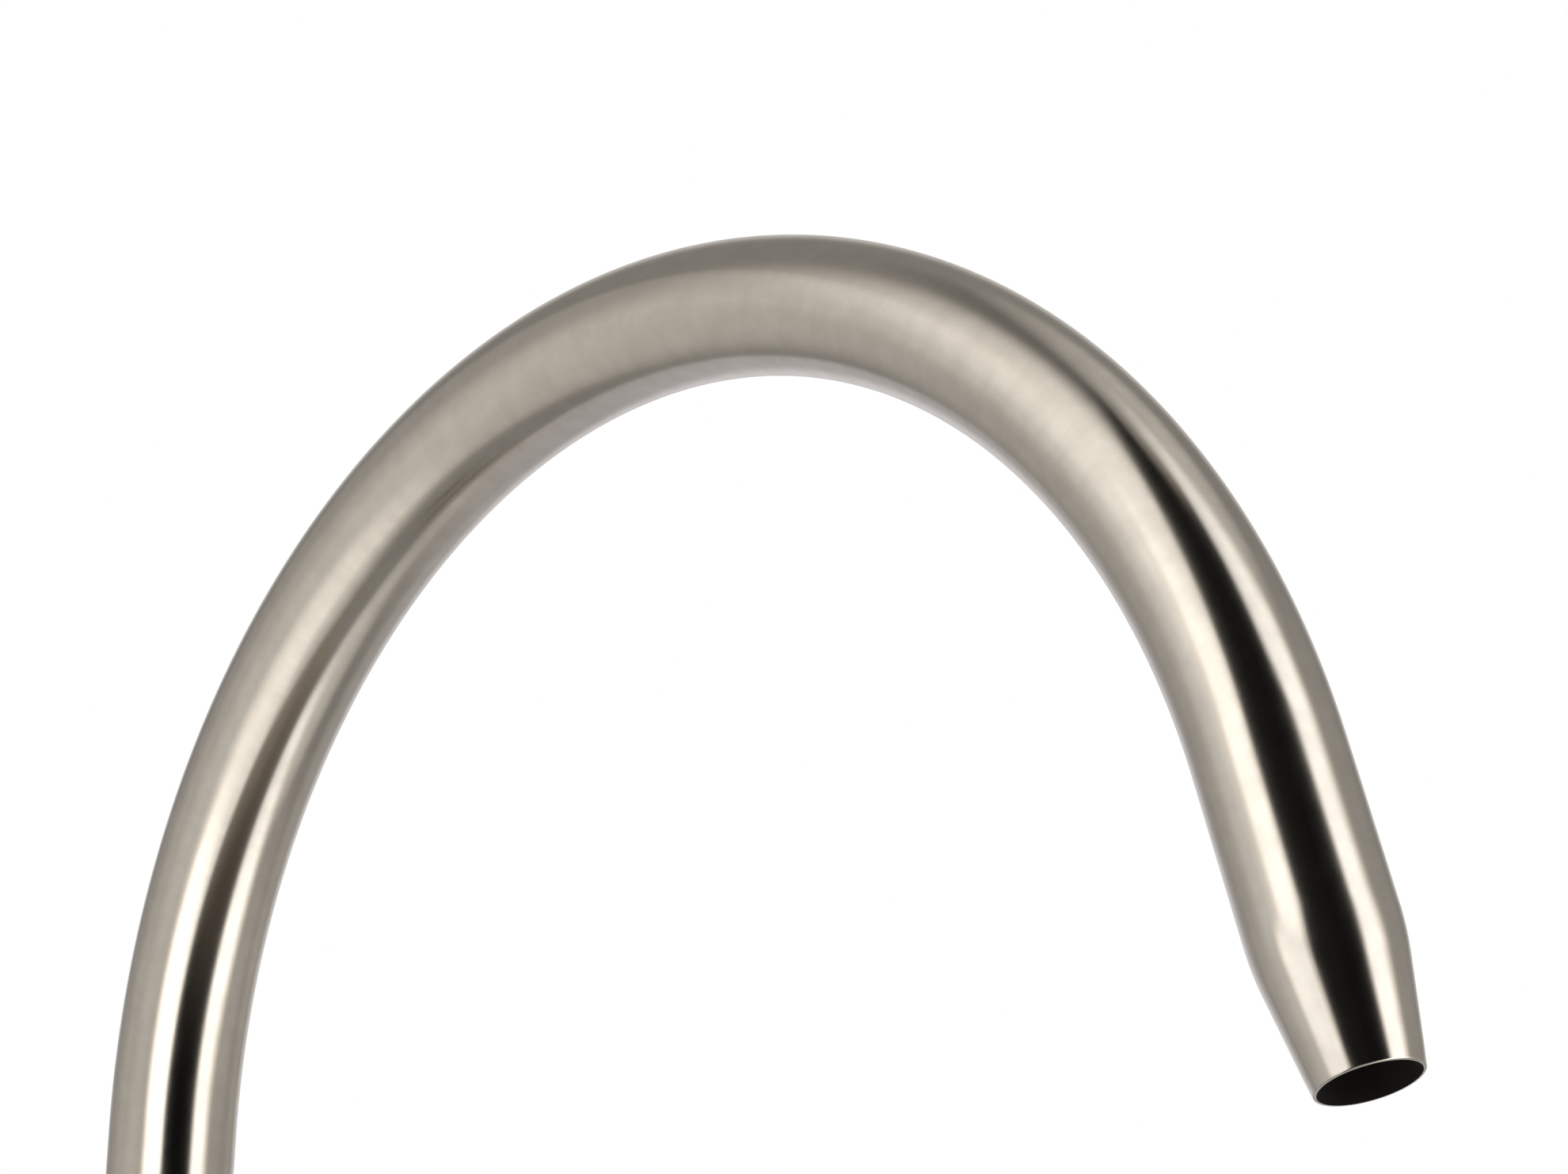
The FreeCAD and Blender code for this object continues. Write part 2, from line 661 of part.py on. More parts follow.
hollow(
    body,
    "shank_socket",
    [
        ("0", FLANGE_TOP),
        (SHANK_HOLE_R, FLANGE_TOP),
        (SHANK_HOLE_R, SHANK_SOCKET_TOP),
        ("inlet_d / 2", SHANK_SOCKET_TOP),
        ("inlet_d / 2", f"{VALVE_LEVEL} + inlet_d / 2"),
        ("0", f"{VALVE_LEVEL} + inlet_d / 2"),
    ],
)
drill(
    body,
    "cartridge_chamber",
    CHAMBER_R,
    f"{BRANCH_END} - {SEAT}",
    y=f"-{SEAT}",
    z=VALVE_LEVEL,
    turn=OUTWARD,
)
drill(body, "seat_passage", "inlet_d / 2 - end_play", SEAT, z=VALVE_LEVEL, turn=OUTWARD)
OUTLET_FOOT = f"({CHAMBER_TOP} - gallery_gap / 2)"
drill(
    body,
    "outlet_passage",
    "outlet_d / 2",
    f"{PLENUM_FLOOR} - {OUTLET_FOOT}",
    y=f"-{HOUSING_START}",
    z=OUTLET_FOOT,
)
keep(body, "valve_body")

# Cartridge: seal, two ceramic discs, the stem that turns one of them, and the housing round them.
keep(on_valve_axis(ring("cartridge_seal", SEAL_BORE_R, DISC_R, SEAT, SEAL_END)), "cartridge_seal")


def ceramic_disc(label, station, first_port):
    """A ceramic disc with two facing ports, cut as sectors round a solid core."""
    ports = []
    for port_turn in (first_port, first_port + HALF_TURN):
        sector = rod(f"{label}_sector_{port_turn:.0f}", PORT_R, "disc_thick")
        bind(sector, Angle="port_angle * 1deg")
        spin(sector, Z_AXIS, f"{port_turn} - port_angle / 2")
        core = rod(f"{label}_core_{port_turn:.0f}", "port_core_d / 2", "disc_thick")
        ports.append(cut(f"{label}_port_{port_turn:.0f}", sector, core))
    blank = rod(f"{label}_blank", DISC_R, "disc_thick")
    disc = cut(f"{label}_ported", blank, fuse(f"{label}_ports", ports))
    return on_valve_axis(disc, station)


keep(ceramic_disc("fixed_disc", SEAL_END, 0.0), "fixed_ceramic_disc")
drive_slot = doc.addObject("Part::Box", "drive_slot")
bind(
    drive_slot,
    Length="tang_length + 2 * fit_gap",
    Width="tang_width + 2 * fit_gap",
    Height="tang_depth + fit_gap",
)
place(
    drive_slot,
    x="-tang_length / 2 - fit_gap",
    y=f"-{MOVING_END} + tang_depth + fit_gap",
    z=f"{VALVE_LEVEL} - tang_width / 2 - fit_gap",
    turn=OUTWARD,
)
moving_disc = ceramic_disc("moving_disc", MOVING_START, QUARTER_TURN)
keep(cut("moving_disc_slotted", moving_disc, drive_slot), "moving_ceramic_disc")

stem = turned(
    "valve_stem",
    [
        ("0", MOVING_END),
        (DISC_R, MOVING_END),
        (DISC_R, STEM_FOOT_END),
        (STEM_R, STEM_FOOT_END),
        (STEM_R, STEM_GROOVE),
        (f"{STEM_RING_R} - stem_ring_section", STEM_GROOVE),
        (f"{STEM_RING_R} - stem_ring_section", STEM_GROOVE_END),
        (STEM_R, STEM_GROOVE_END),
        (STEM_R, CLIP_START),
        (CLIP_FLOOR_R, CLIP_START),
        (CLIP_FLOOR_R, CLIP_END),
        (STEM_R, CLIP_END),
        (STEM_R, f"{SKIRT_END} - end_play"),
        (STEM_TIP_R, f"{SKIRT_END} - end_play"),
        (STEM_TIP_R, STEM_END),
        ("0", STEM_END),
    ],
)
tang = stem.newObject("PartDesign::AdditiveBox", "drive_tang")
bind(tang, Length="tang_length", Width="tang_width", Height="tang_depth")
place(tang, x="-tang_length / 2", y="-tang_width / 2", z=f"{MOVING_END} - tang_depth")
doc.recompute()
mill(
    stem,
    "screw_flat",
    f"2 * {STEM_TIP_R}",
    "stem_flat",
    "stem_grip",
    x=f"-{STEM_TIP_R}",
    y=f"-{STEM_TIP_R}",
    z=SKIRT_END,
)
keep(on_valve_axis(stem), "valve_stem")

stem_ring = seal_ring("stem_ring", STEM_RING_R, "stem_ring_section")
keep(on_valve_axis(stem_ring, f"(({STEM_GROOVE} + {STEM_GROOVE_END}) / 2)"), "stem_o_ring")

# The clip is open on one side, so that it pushes on across the stem.
clip = ring("stem_clip", f"{CLIP_FLOOR_R} + fit_gap", f"{STEM_R} + clip_width", CLIP_START, CLIP_END)
mill(
    clip,
    "clip_mouth",
    f"2 * {CLIP_FLOOR_R}",
    f"{STEM_R} + clip_width",
    "clip_thick",
    x=f"-{CLIP_FLOOR_R}",
    z=CLIP_START,
)
keep(on_valve_axis(clip), "stem_clip")

housing = turned(
    "cartridge_housing",
    [
        (HOUSING_BORE_R, HOUSING_START),
        (HOUSING_R, HOUSING_START),
        (HOUSING_R, GALLERY_END),
        (THREAD_R, GALLERY_END),
        (THREAD_R, HOUSING_GROOVE),
        (f"{HOUSING_RING_R} - housing_ring_section", HOUSING_GROOVE),
        (f"{HOUSING_RING_R} - housing_ring_section", HOUSING_GROOVE_END),
        (THREAD_R, HOUSING_GROOVE_END),
        (THREAD_R, BRANCH_END),
        (HOUSING_FLANGE_R, BRANCH_END),
        (HOUSING_FLANGE_R, HOUSING_END),
        (STEM_HOLE_R, HOUSING_END),
        (STEM_HOLE_R, HOUSING_NECK),
        (HOUSING_BORE_R, HOUSING_NECK),
    ],
)
mill(
    housing,
    "outlet_windows",
    "window_width",
    f"2 * {CHAMBER_R}",
    "disc_thick",
    x="-window_width / 2",
    y=f"-{CHAMBER_R}",
    z=MOVING_START,
)
keep(on_valve_axis(housing), "cartridge_housing")

housing_ring = seal_ring("housing_ring", HOUSING_RING_R, "housing_ring_section")
keep(on_valve_axis(housing_ring, f"(({HOUSING_GROOVE} + {HOUSING_GROOVE_END}) / 2)"), "housing_o_ring")

# Lever handle: hub on the stem, rod in the hub, and a set screw under a plug.
hub = turned(
    "handle_hub",
    [
        (SKIRT_R, HUB_START),
        (BRANCH_R, HUB_START),
        (BRANCH_R, HUB_END),
        ("0", HUB_END),
        ("0", STEM_HOLE_END),
        (STEM_TIP_HOLE_R, STEM_HOLE_END),
        (STEM_TIP_HOLE_R, SKIRT_END),
        (SKIRT_R, SKIRT_END),
    ],
)
soften(hub, "Fillet", "hub_round", round_edges(hub, (BRANCH_R, HUB_END)))
soften(hub, "Chamfer", "body_edge", round_edges(hub, (BRANCH_R, HUB_START)))
drill(
    hub,
    "rod_socket",
    f"{ROD_BASE_R} + fit_gap",
    BRANCH_R,
    y=ROD_FLOOR_R,
    z=LEVER_LINE,
    turn=TO_LOCAL_UP,
)
drill(hub, "screw_hole", SCREW_HOLE_R, BRANCH_R, z=LEVER_LINE, turn=TO_LOCAL_DOWN)
keep(on_valve_axis(hub), "handle_hub")

lever = turned(
    "lever_rod",
    [
        ("0", ROD_FOOT),
        (ROD_BASE_R, ROD_FOOT),
        (ROD_BASE_R, ROD_SHOULDER),
        (ROD_TIP_R, ROD_TOP),
        ("0", ROD_TOP),
    ],
)
soften(lever, "Fillet", f"min(rod_round; 0.9 * {ROD_TIP_R})", round_edges(lever, (ROD_TIP_R, ROD_TOP)))
keep(place(lever, y=f"-{LEVER_LINE}"), "lever_rod")

set_screw = cut(
    "set_screw",
    rod("set_screw_blank", SCREW_R, f"{SCREW_TOP} - {SCREW_FOOT}", y=f"-{LEVER_LINE}", z=SCREW_FOOT),
    hex_prism("set_screw_key", "(screw_hex / 2)", "screw_hex", y=f"-{LEVER_LINE}", z=SCREW_FOOT),
)
keep(set_screw, "handle_set_screw")

plug = turned(
    "screw_plug",
    [("0", PLUG_FOOT), (SCREW_R, PLUG_FOOT), (SCREW_R, PLUG_TOP), ("0", PLUG_TOP)],
)
keep(place(plug, y=f"-{LEVER_LINE}"), "screw_plug")

# Base: flange with a gasket let into its underside, standing on the worktop at Z = 0.
flange = turned(
    "base_flange",
    [
        (CLAMP_HOLE_R, "gasket_thick"),
        (GASKET_HOLE_R, "gasket_thick"),
        (GASKET_HOLE_R, "gasket_proud"),
        (FLANGE_R, "gasket_proud"),
        (FLANGE_R, FLANGE_RIM),
        (FLANGE_LAND_R, FLANGE_TOP),
        (CLAMP_HOLE_R, FLANGE_TOP),
    ],
)
flange_edges = round_edges(flange, (FLANGE_R, FLANGE_RIM), (FLANGE_LAND_R, FLANGE_TOP))
soften(flange, "Fillet", "flange_round", flange_edges)
keep(flange, "base_flange")
keep(ring("base_gasket", CLAMP_HOLE_R, GASKET_R, "0", "gasket_thick"), "base_gasket")

SHANK_CHAMFER = "min(shank_chamfer; shank_wall / 2)"
shank = turned(
    "threaded_shank",
    [
        (SHANK_BORE_R, SHANK_END),
        (f"{SHANK_R} - {SHANK_CHAMFER}", SHANK_END),
        (SHANK_R, f"{SHANK_END} + {SHANK_CHAMFER}"),
        (SHANK_R, SHANK_TOP),
        (SHANK_BORE_R, SHANK_TOP),
    ],
)
keep(shank, "threaded_shank")
keep(ring("shank_seal", SHANK_BORE_R, SEAL_WASHER_R, SHANK_TOP, SHANK_SOCKET_TOP), "shank_seal_washer")

# Clamp under the worktop: rubber washer, plate, toothed lock washer and nut, stacked on the shank.
keep(ring("clamp_rubber", CLAMP_HOLE_R, WASHER_R, RUBBER_FOOT, "-deck_thickness"), "clamp_rubber_washer")
keep(ring("clamp_plate", CLAMP_HOLE_R, WASHER_R, PLATE_FOOT, RUBBER_FOOT), "clamp_plate")
lock_washer = ring("lock_washer", CLAMP_HOLE_R, LOCK_R, LOCK_FOOT, PLATE_FOOT)
notch = mill(
    lock_washer,
    "lock_notch_cut",
    "lock_notch",
    "2 * lock_notch_depth",
    "lock_thick",
    x="-lock_notch / 2",
    y=f"{LOCK_R} - lock_notch_depth",
    z=LOCK_FOOT,
)
repeat_around(lock_washer, notch, LOCK_TEETH)
keep(lock_washer, "toothed_lock_washer")

# Nut: a hexagon whose corners are turned back to a chamfer, bored for the shank.
NUT_CHAMFER = f"({NUT_CORNER_R} - {NUT_FLAT_R})"
nut_blank = turned(
    "mounting_nut",
    [
        (NUT_HOLE_R, NUT_FOOT),
        (NUT_FLAT_R, NUT_FOOT),
        (NUT_CORNER_R, f"{NUT_FOOT} + {NUT_CHAMFER}"),
        (NUT_CORNER_R, f"{LOCK_FOOT} - {NUT_CHAMFER}"),
        (NUT_FLAT_R, LOCK_FOOT),
        (NUT_HOLE_R, LOCK_FOOT),
    ],
)
nut = doc.addObject("Part::Common", "mounting_nut_hex")
nut.Base = nut_blank
nut.Tool = hex_prism("mounting_nut_flats", NUT_FLAT_R, "nut_thick", z=NUT_FOOT)
keep(nut, "mounting_nut")

# Push-fit coupling on the shank's end: hexagon and barrel, threaded above and bored for the tube below.
adapter = turned(
    "adapter",
    [
        ("0", ADAPTER_END),
        (f"{ADAPTER_R} - body_edge", ADAPTER_END),
        (ADAPTER_R, f"{ADAPTER_END} + body_edge"),
        (ADAPTER_R, f"{ADAPTER_TOP} - body_edge"),
        (f"{ADAPTER_R} - body_edge", ADAPTER_TOP),
        ("0", ADAPTER_TOP),
    ],
)
adapter_hex = adapter.newObject("PartDesign::AdditivePrism", "adapter_hex")
adapter_hex.Polygon = HEX_SIDES
bind(
    adapter_hex,
    Circumradius=f"{ADAPTER_FLAT_R} * 2 / sqrt(3)",
    Height=f"{ADAPTER_TOP} - {STOP_TOP} - body_edge",
)
place(adapter_hex, z=STOP_TOP)
doc.recompute()
hollow(
    adapter,
    "shank_thread",
    [("0", ADAPTER_SEAT), (SHANK_HOLE_R, ADAPTER_SEAT), (SHANK_HOLE_R, ADAPTER_TOP), ("0", ADAPTER_TOP)],
)
hollow(
    adapter,
    "tube_port",
    [
        ("0", ADAPTER_END),
        (POCKET_R, ADAPTER_END),
        (POCKET_R, RING_ROOM_END),
        (RING_ROOM_R, RING_ROOM_END),
        (RING_ROOM_R, STOP_END),
        (COLLET_BORE_R, STOP_END),
        (COLLET_BORE_R, STOP_TOP),
        (WEB_HOLE_R, STOP_TOP),
        (WEB_HOLE_R, ADAPTER_SEAT),
        ("0", ADAPTER_SEAT),
    ],
)
keep(adapter, "adapter_body")
keep(ring("adapter_gasket", WEB_HOLE_R, SEAL_WASHER_R, ADAPTER_SEAT, SHANK_END), "adapter_gasket")

port_ring = seal_ring("port_ring", PORT_RING_R, "port_ring_section")
keep(place(port_ring, z=f"({STOP_END} + {RING_ROOM_END}) / 2"), "adapter_o_ring")

# Grip ring: a thin spring washer slit into teeth, seated against the step above it.
grip_ring = ring("grip_ring", COLLET_BORE_R, POCKET_FIT_R, GRIP_END, RING_ROOM_END)
slit = mill(
    grip_ring,
    "grip_slit_cut",
    "grip_slit",
    f"{COLLET_BORE_R} + grip_tooth",
    "grip_thick",
    x="-grip_slit / 2",
    z=GRIP_END,
)
repeat_around(grip_ring, slit, GRIP_TEETH)
keep(grip_ring, "grip_ring")

keep(ring("adapter_cap", CAP_BORE_R, POCKET_FIT_R, ADAPTER_END, CAP_TOP), "adapter_cap")

# Release collet: a sleeve with a flange to push on and a barbed nose behind the cap.
collet = turned(
    "release_collet",
    [
        (COLLET_BORE_R, COLLET_END),
        (COLLET_FLANGE_R, COLLET_END),
        (COLLET_FLANGE_R, COLLET_FLANGE_TOP),
        (COLLET_R, COLLET_FLANGE_TOP),
        (COLLET_R, NOSE_END),
        (COLLET_NOSE_R, NOSE_END),
        (COLLET_R, NOSE_TOP),
        (COLLET_BORE_R, NOSE_TOP),
    ],
)
keep(collet, "release_collet")

# Check every object, then write one STEP file for each sub-part.
doc.recompute()
for item in doc.Objects:
    if "Invalid" in item.State or "Error" in item.State:
        raise RuntimeError(f"{item.Name} failed: {item.State}")
for piece in sub_parts:
    if piece.Shape.isNull() or not piece.Shape.isValid() or not piece.Shape.Solids:
        raise RuntimeError(f"{piece.Label} has no valid solid")
os.makedirs("parts", exist_ok=True)
for piece in sub_parts:
    piece.Shape.exportStep(f"parts/{piece.Label}.step")
    box = piece.Shape.optimalBoundingBox()
    print(f"{piece.Label}: {piece.Shape.Volume:.1f} mm3, Z {box.ZMin:.2f} to {box.ZMax:.2f}")
print(f"{len(sub_parts)} sub-parts")
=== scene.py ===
# %% [markdown]
# A gooseneck faucet for filtered water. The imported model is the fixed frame: every piece of the real
# faucet is already in it, at its real size in metres, and it is never moved here. This lesson gives each
# piece its finish, replaces the two pieces whose look needs a finer mesh (the bent spout and the screw
# thread of the shank), and sets up the small studio that a shiny tube needs, because bare metal shows
# little but what stands round it.

# %% Load the frame
import json
import math

import bpy
from mathutils import Matrix, Vector


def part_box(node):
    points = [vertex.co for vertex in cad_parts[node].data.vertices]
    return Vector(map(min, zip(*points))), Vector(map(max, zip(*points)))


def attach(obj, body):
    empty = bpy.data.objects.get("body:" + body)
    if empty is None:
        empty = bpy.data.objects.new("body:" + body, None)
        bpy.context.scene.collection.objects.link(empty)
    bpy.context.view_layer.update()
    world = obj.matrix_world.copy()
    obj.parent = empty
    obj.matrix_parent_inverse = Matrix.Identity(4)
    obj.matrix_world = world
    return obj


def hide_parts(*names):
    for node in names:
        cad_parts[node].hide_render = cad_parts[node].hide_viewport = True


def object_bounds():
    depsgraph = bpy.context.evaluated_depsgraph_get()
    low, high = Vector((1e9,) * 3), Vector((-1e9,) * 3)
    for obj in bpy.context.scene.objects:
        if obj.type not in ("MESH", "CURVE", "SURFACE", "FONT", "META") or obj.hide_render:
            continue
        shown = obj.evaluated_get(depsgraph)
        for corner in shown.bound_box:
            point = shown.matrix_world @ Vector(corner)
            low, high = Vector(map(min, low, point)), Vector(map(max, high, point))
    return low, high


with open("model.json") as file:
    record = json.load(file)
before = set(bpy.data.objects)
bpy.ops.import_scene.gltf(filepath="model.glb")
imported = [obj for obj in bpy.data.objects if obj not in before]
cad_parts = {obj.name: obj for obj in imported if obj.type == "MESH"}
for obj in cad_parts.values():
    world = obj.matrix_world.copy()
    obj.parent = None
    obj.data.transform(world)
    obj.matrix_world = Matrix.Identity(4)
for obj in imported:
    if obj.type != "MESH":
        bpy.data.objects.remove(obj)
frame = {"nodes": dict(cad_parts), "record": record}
CAD_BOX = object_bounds()
scene = bpy.context.scene
print("nodes in the frame:", len(frame["nodes"]))
print("the frame's box:", [[round(value, 4) for value in corner] for corner in CAD_BOX])

# %% [markdown]
# The camera stands in front of the spout's mouth and to one side, a little lower than the mouth, and
# looks up at the bend with a long lens, so only the bend, the tail and the top of the riser are in the
# picture. A camera could be pointed with a Track To constraint, but the picture also has a small roll,
# so its three axes are worked out from yaw, pitch and roll and put into its matrix.

# %% Camera
CAMERA_PLACE = Vector((0.30783, -0.22409, 0.19146))
CAMERA_YAW = math.radians(-46.995)
CAMERA_PITCH = math.radians(9.099)
CAMERA_ROLL = math.radians(2.881)
CAMERA_LENS = 109.1
CAMERA_SENSOR = 36.0
CAMERA_CLOSEST = 0.01


def add_object(name, data):
    """A new object of the scene that shows this data."""
    made = bpy.data.objects.new(name, data)
    scene.collection.objects.link(made)
    return made


forward = Vector((
    math.sin(CAMERA_YAW) * math.cos(CAMERA_PITCH),
    math.cos(CAMERA_YAW) * math.cos(CAMERA_PITCH),
    math.sin(CAMERA_PITCH),
))
level_right = Vector((math.cos(CAMERA_YAW), -math.sin(CAMERA_YAW), 0.0))
level_up = level_right.cross(forward)
right = level_right * math.cos(CAMERA_ROLL) + level_up * math.sin(CAMERA_ROLL)
up = level_up * math.cos(CAMERA_ROLL) - level_right * math.sin(CAMERA_ROLL)

camera_data = bpy.data.cameras.new("camera")
camera_data.lens = CAMERA_LENS
camera_data.sensor_width = CAMERA_SENSOR
camera_data.sensor_fit = "HORIZONTAL"
camera_data.clip_start = CAMERA_CLOSEST
camera = add_object("camera", camera_data)
camera_axes = Matrix((right, up, -forward)).transposed()
camera.matrix_world = Matrix.Translation(CAMERA_PLACE) @ camera_axes.to_4x4()
scene.camera = camera
scene.view_settings.view_transform = "Standard"
print("camera lens:", CAMERA_LENS, "mm, distance to the riser:", round(CAMERA_PLACE.xy.length, 3), "m")

# %% [markdown]
# Materials and the world are both made of shader nodes. Writing every node and link out by hand is long,
# so one helper makes a node, sets its options and fills its inputs: an input that is given a socket is
# linked to it, and any other value is set on the input itself. The other helpers are single steps that
# come back often, and each gives the socket that the step puts out.

# %% Node helpers
ORIGIN = (0.0, 0.0, 0.0)
WHITE = (1.0, 1.0, 1.0, 1.0)
# places of the two colours and of the mixed colour among the sockets of a Mix node
MIX_FIRST = 6
MIX_SECOND = 7
MIX_RESULT = 2


def fill(tree, node, inputs):
    """Links each input that is given a socket, and sets any other value on the input itself."""
    for name, value in inputs.items():
        if isinstance(value, bpy.types.NodeSocket):
            tree.links.new(value, node.inputs[name])
        else:
            node.inputs[name].default_value = value


def add_node(tree, kind, inputs=None, **options):
    """A new node of a tree, with its options set and then its inputs filled."""
    made = tree.nodes.new(kind)
    for option, value in options.items():
        setattr(made, option, value)
    fill(tree, made, inputs or {})
    return made


def maths(tree, operation, first, second=0.0):
    """One arithmetic step."""
    return add_node(tree, "ShaderNodeMath", {0: first, 1: second}, operation=operation).outputs[0]


def spread(tree, value, low, high, to_low=0.0, to_high=1.0, smooth=False):
    """A value moved from one range to another and held inside it."""
    inputs = {0: value, 1: low, 2: high, 3: to_low, 4: to_high}
    kind = "SMOOTHSTEP" if smooth else "LINEAR"
    return add_node(tree, "ShaderNodeMapRange", inputs, interpolation_type=kind, clamp=True).outputs[0]


def vector_maths(tree, operation, first, second=ORIGIN, result=0):
    """One step with vectors. A dot product or a length is result 1."""
    step = add_node(tree, "ShaderNodeVectorMath", {0: first, 1: second}, operation=operation)
    return step.outputs[result]


def tint(tree, share, first, second):
    """A colour between two, by a share from 0 to 1."""
    inputs = {0: share, MIX_FIRST: first, MIX_SECOND: second}
    return add_node(tree, "ShaderNodeMix", inputs, data_type="RGBA").outputs[MIX_RESULT]


print("node helpers ready")

# %% [markdown]
# The tube looks as if it was lit in a light tent: a pale wall on the left, a white sweep behind and a
# dim ceiling. An image of a studio would be the usual world, but a few soft patches of brightness, each
# with a direction, a width and a strength, are easier to tune against what the tube shows. The top of
# the wall and the front of the sweep show as crisp lines in the metal, so the patches there are cut off:
# a straight edge lies in one plane with the tube, and a plane is one dot product. All angles are in
# degrees.

# %% Patches of the light tent
TENT_FRONT = (1.0, 0.972, 0.925, 1.0)
TENT_BEHIND = (1.0, 0.985, 1.02, 1.0)
TENT_BASE = 0.24
# azimuth and elevation of an edge's normal, on the side that is kept, and the softness of the edge
WALL_TOP = (-40.0, -52.0, 0.025)
WALL_FOOT = (-40.0, 29.0, 0.09)
GLOW_FOOT = (177.0, 78.0, 0.12)
SWEEP_FRONT = (175.0, 7.0, 0.02)
WALL = [WALL_TOP, WALL_FOOT]
GLOW = [GLOW_FOOT]
SWEEP = [SWEEP_FRONT]
FREE = []
# name, azimuth, elevation, radius of the full patch, radius where it ends, brightness added, its edges
TENT_PATCHES = [
    ("left wall", -37.0, -27.0, 8.0, 54.0, 0.27, WALL),
    ("middle of the wall", -64.0, 22.0, 8.0, 30.0, 0.10, WALL),
    ("upper left glow", -6.0, 33.0, 10.0, 46.0, 0.62, GLOW),
    ("front glow", 20.0, -6.0, 10.0, 24.0, 0.75, FREE),
    ("lower left glow", 16.0, -36.0, 6.0, 38.0, 0.55, FREE),
    ("shade over the lower glow", 8.0, -17.0, 4.0, 16.0, -0.12, FREE),
    ("shade beside the lower glow", 36.0, -52.0, 2.0, 14.0, -0.11, FREE),
    ("foot of the wall", -10.0, -58.0, 3.0, 13.0, 0.09, FREE),
    ("white sweep", -114.0, -43.0, 16.0, 54.0, 0.18, SWEEP),
    ("middle of the sweep", -110.0, -24.0, 6.0, 26.0, 0.06, SWEEP),
    ("right of the sweep", 146.0, 10.0, 20.0, 46.0, 0.08, SWEEP),
    ("lower right of the sweep", 136.0, -18.0, 8.0, 30.0, 0.09, SWEEP),
    ("left end of the sweep", -87.0, -4.0, 4.0, 20.0, 0.09, FREE),
    ("back of the sweep", -170.0, -14.0, 8.0, 30.0, 0.12, SWEEP),
    ("foot of the sweep", 178.0, -77.0, 5.0, 16.0, 0.12, SWEEP),
    ("backdrop", -133.0, 9.0, 8.0, 37.0, 0.40, FREE),
    ("lower back", 126.0, -57.0, 6.0, 26.0, 0.33, SWEEP),
    ("upper back", 160.0, 72.0, 8.0, 28.0, 0.28, FREE),
    ("ceiling", -70.0, 86.0, 8.0, 26.0, -0.08, FREE),
]
# where the light has the sweep's cooler tint: azimuth, elevation, full radius, radius where it ends
SWEEP_TINT = (-122.0, -22.0, 15.0, 52.0)
print("tent patches:", [name for name, *_ in TENT_PATCHES])

# %% [markdown]
# The world adds the patches up. How near a sight line is to a patch's direction is a dot product too,
# and a smooth step of it gives the patch its soft rim. What the camera sees past the faucet is plain
# white: a Light Path node picks the white for camera rays and leaves the tent to all other rays.

# %% Studio world
world = bpy.data.worlds.new("light_tent")
world.use_nodes = True
scene.world = world
tent = world.node_tree
tent.nodes.clear()
sight = add_node(tent, "ShaderNodeTexCoord").outputs["Generated"]


def bearing(azimuth, elevation):
    """The direction at an azimuth, 0 towards -Y and 90 towards +X, and an elevation."""
    turn = math.radians(azimuth)
    rise = math.radians(elevation)
    return Vector((math.sin(turn) * math.cos(rise), -math.cos(turn) * math.cos(rise), math.sin(rise)))


def towards(azimuth, elevation, low, high, reach=1.0):
    """A smooth rise, from 0 to reach, of the agreement between the sight line and a direction."""
    agreement = vector_maths(tent, "DOT_PRODUCT", sight, bearing(azimuth, elevation), result=1)
    return spread(tent, agreement, low, high, 0.0, reach, smooth=True)


def soft_patch(azimuth, elevation, full, ends, added=1.0):
    """What is added round a direction: all of it inside the full radius, none past the other one."""
    return towards(azimuth, elevation, math.cos(math.radians(ends)), math.cos(math.radians(full)), added)


def kept_side(azimuth, elevation, softness):
    """1 on the kept side of a straight edge and 0 on the other side."""
    return towards(azimuth, elevation, -softness, softness)


tent_light = TENT_BASE
for _, *patch, edges in TENT_PATCHES:
    glow = soft_patch(*patch)
    for edge in edges:
        glow = maths(tent, "MULTIPLY", glow, kept_side(*edge))
    tent_light = maths(tent, "ADD", tent_light, glow)
sweep_share = maths(tent, "MULTIPLY", kept_side(*SWEEP_FRONT), soft_patch(*SWEEP_TINT))
tent_colour = tint(tent, sweep_share, TENT_FRONT, TENT_BEHIND)
tent_side = add_node(tent, "ShaderNodeBackground", {"Color": tent_colour, "Strength": tent_light})
white_side = add_node(tent, "ShaderNodeBackground", {"Color": WHITE, "Strength": 1.0})
seen = add_node(tent, "ShaderNodeLightPath").outputs["Is Camera Ray"]
both_sides = add_node(tent, "ShaderNodeMixShader", {
    0: seen,
    1: tent_side.outputs[0],
    2: white_side.outputs[0],
})
add_node(tent, "ShaderNodeOutputWorld", {"Surface": both_sides.outputs[0]})
print("world:", world.name, "with", len(tent.nodes), "nodes")

# %% [markdown]
# Two tall softboxes give the tube its two white stripes, a dim wing softens the side of the left one,
# and the black stripe between them is a dark cloth behind the camera. Blender's area lights would do for
# plain rectangles, but a mesh can bend and lean as well, and a cloth has to be a mesh anyway. So all
# four are upright strips of mesh, whose sides may lean from one level to the next. Only mirrors see
# them: they are hidden from the camera, and neither light nor shade the floor.

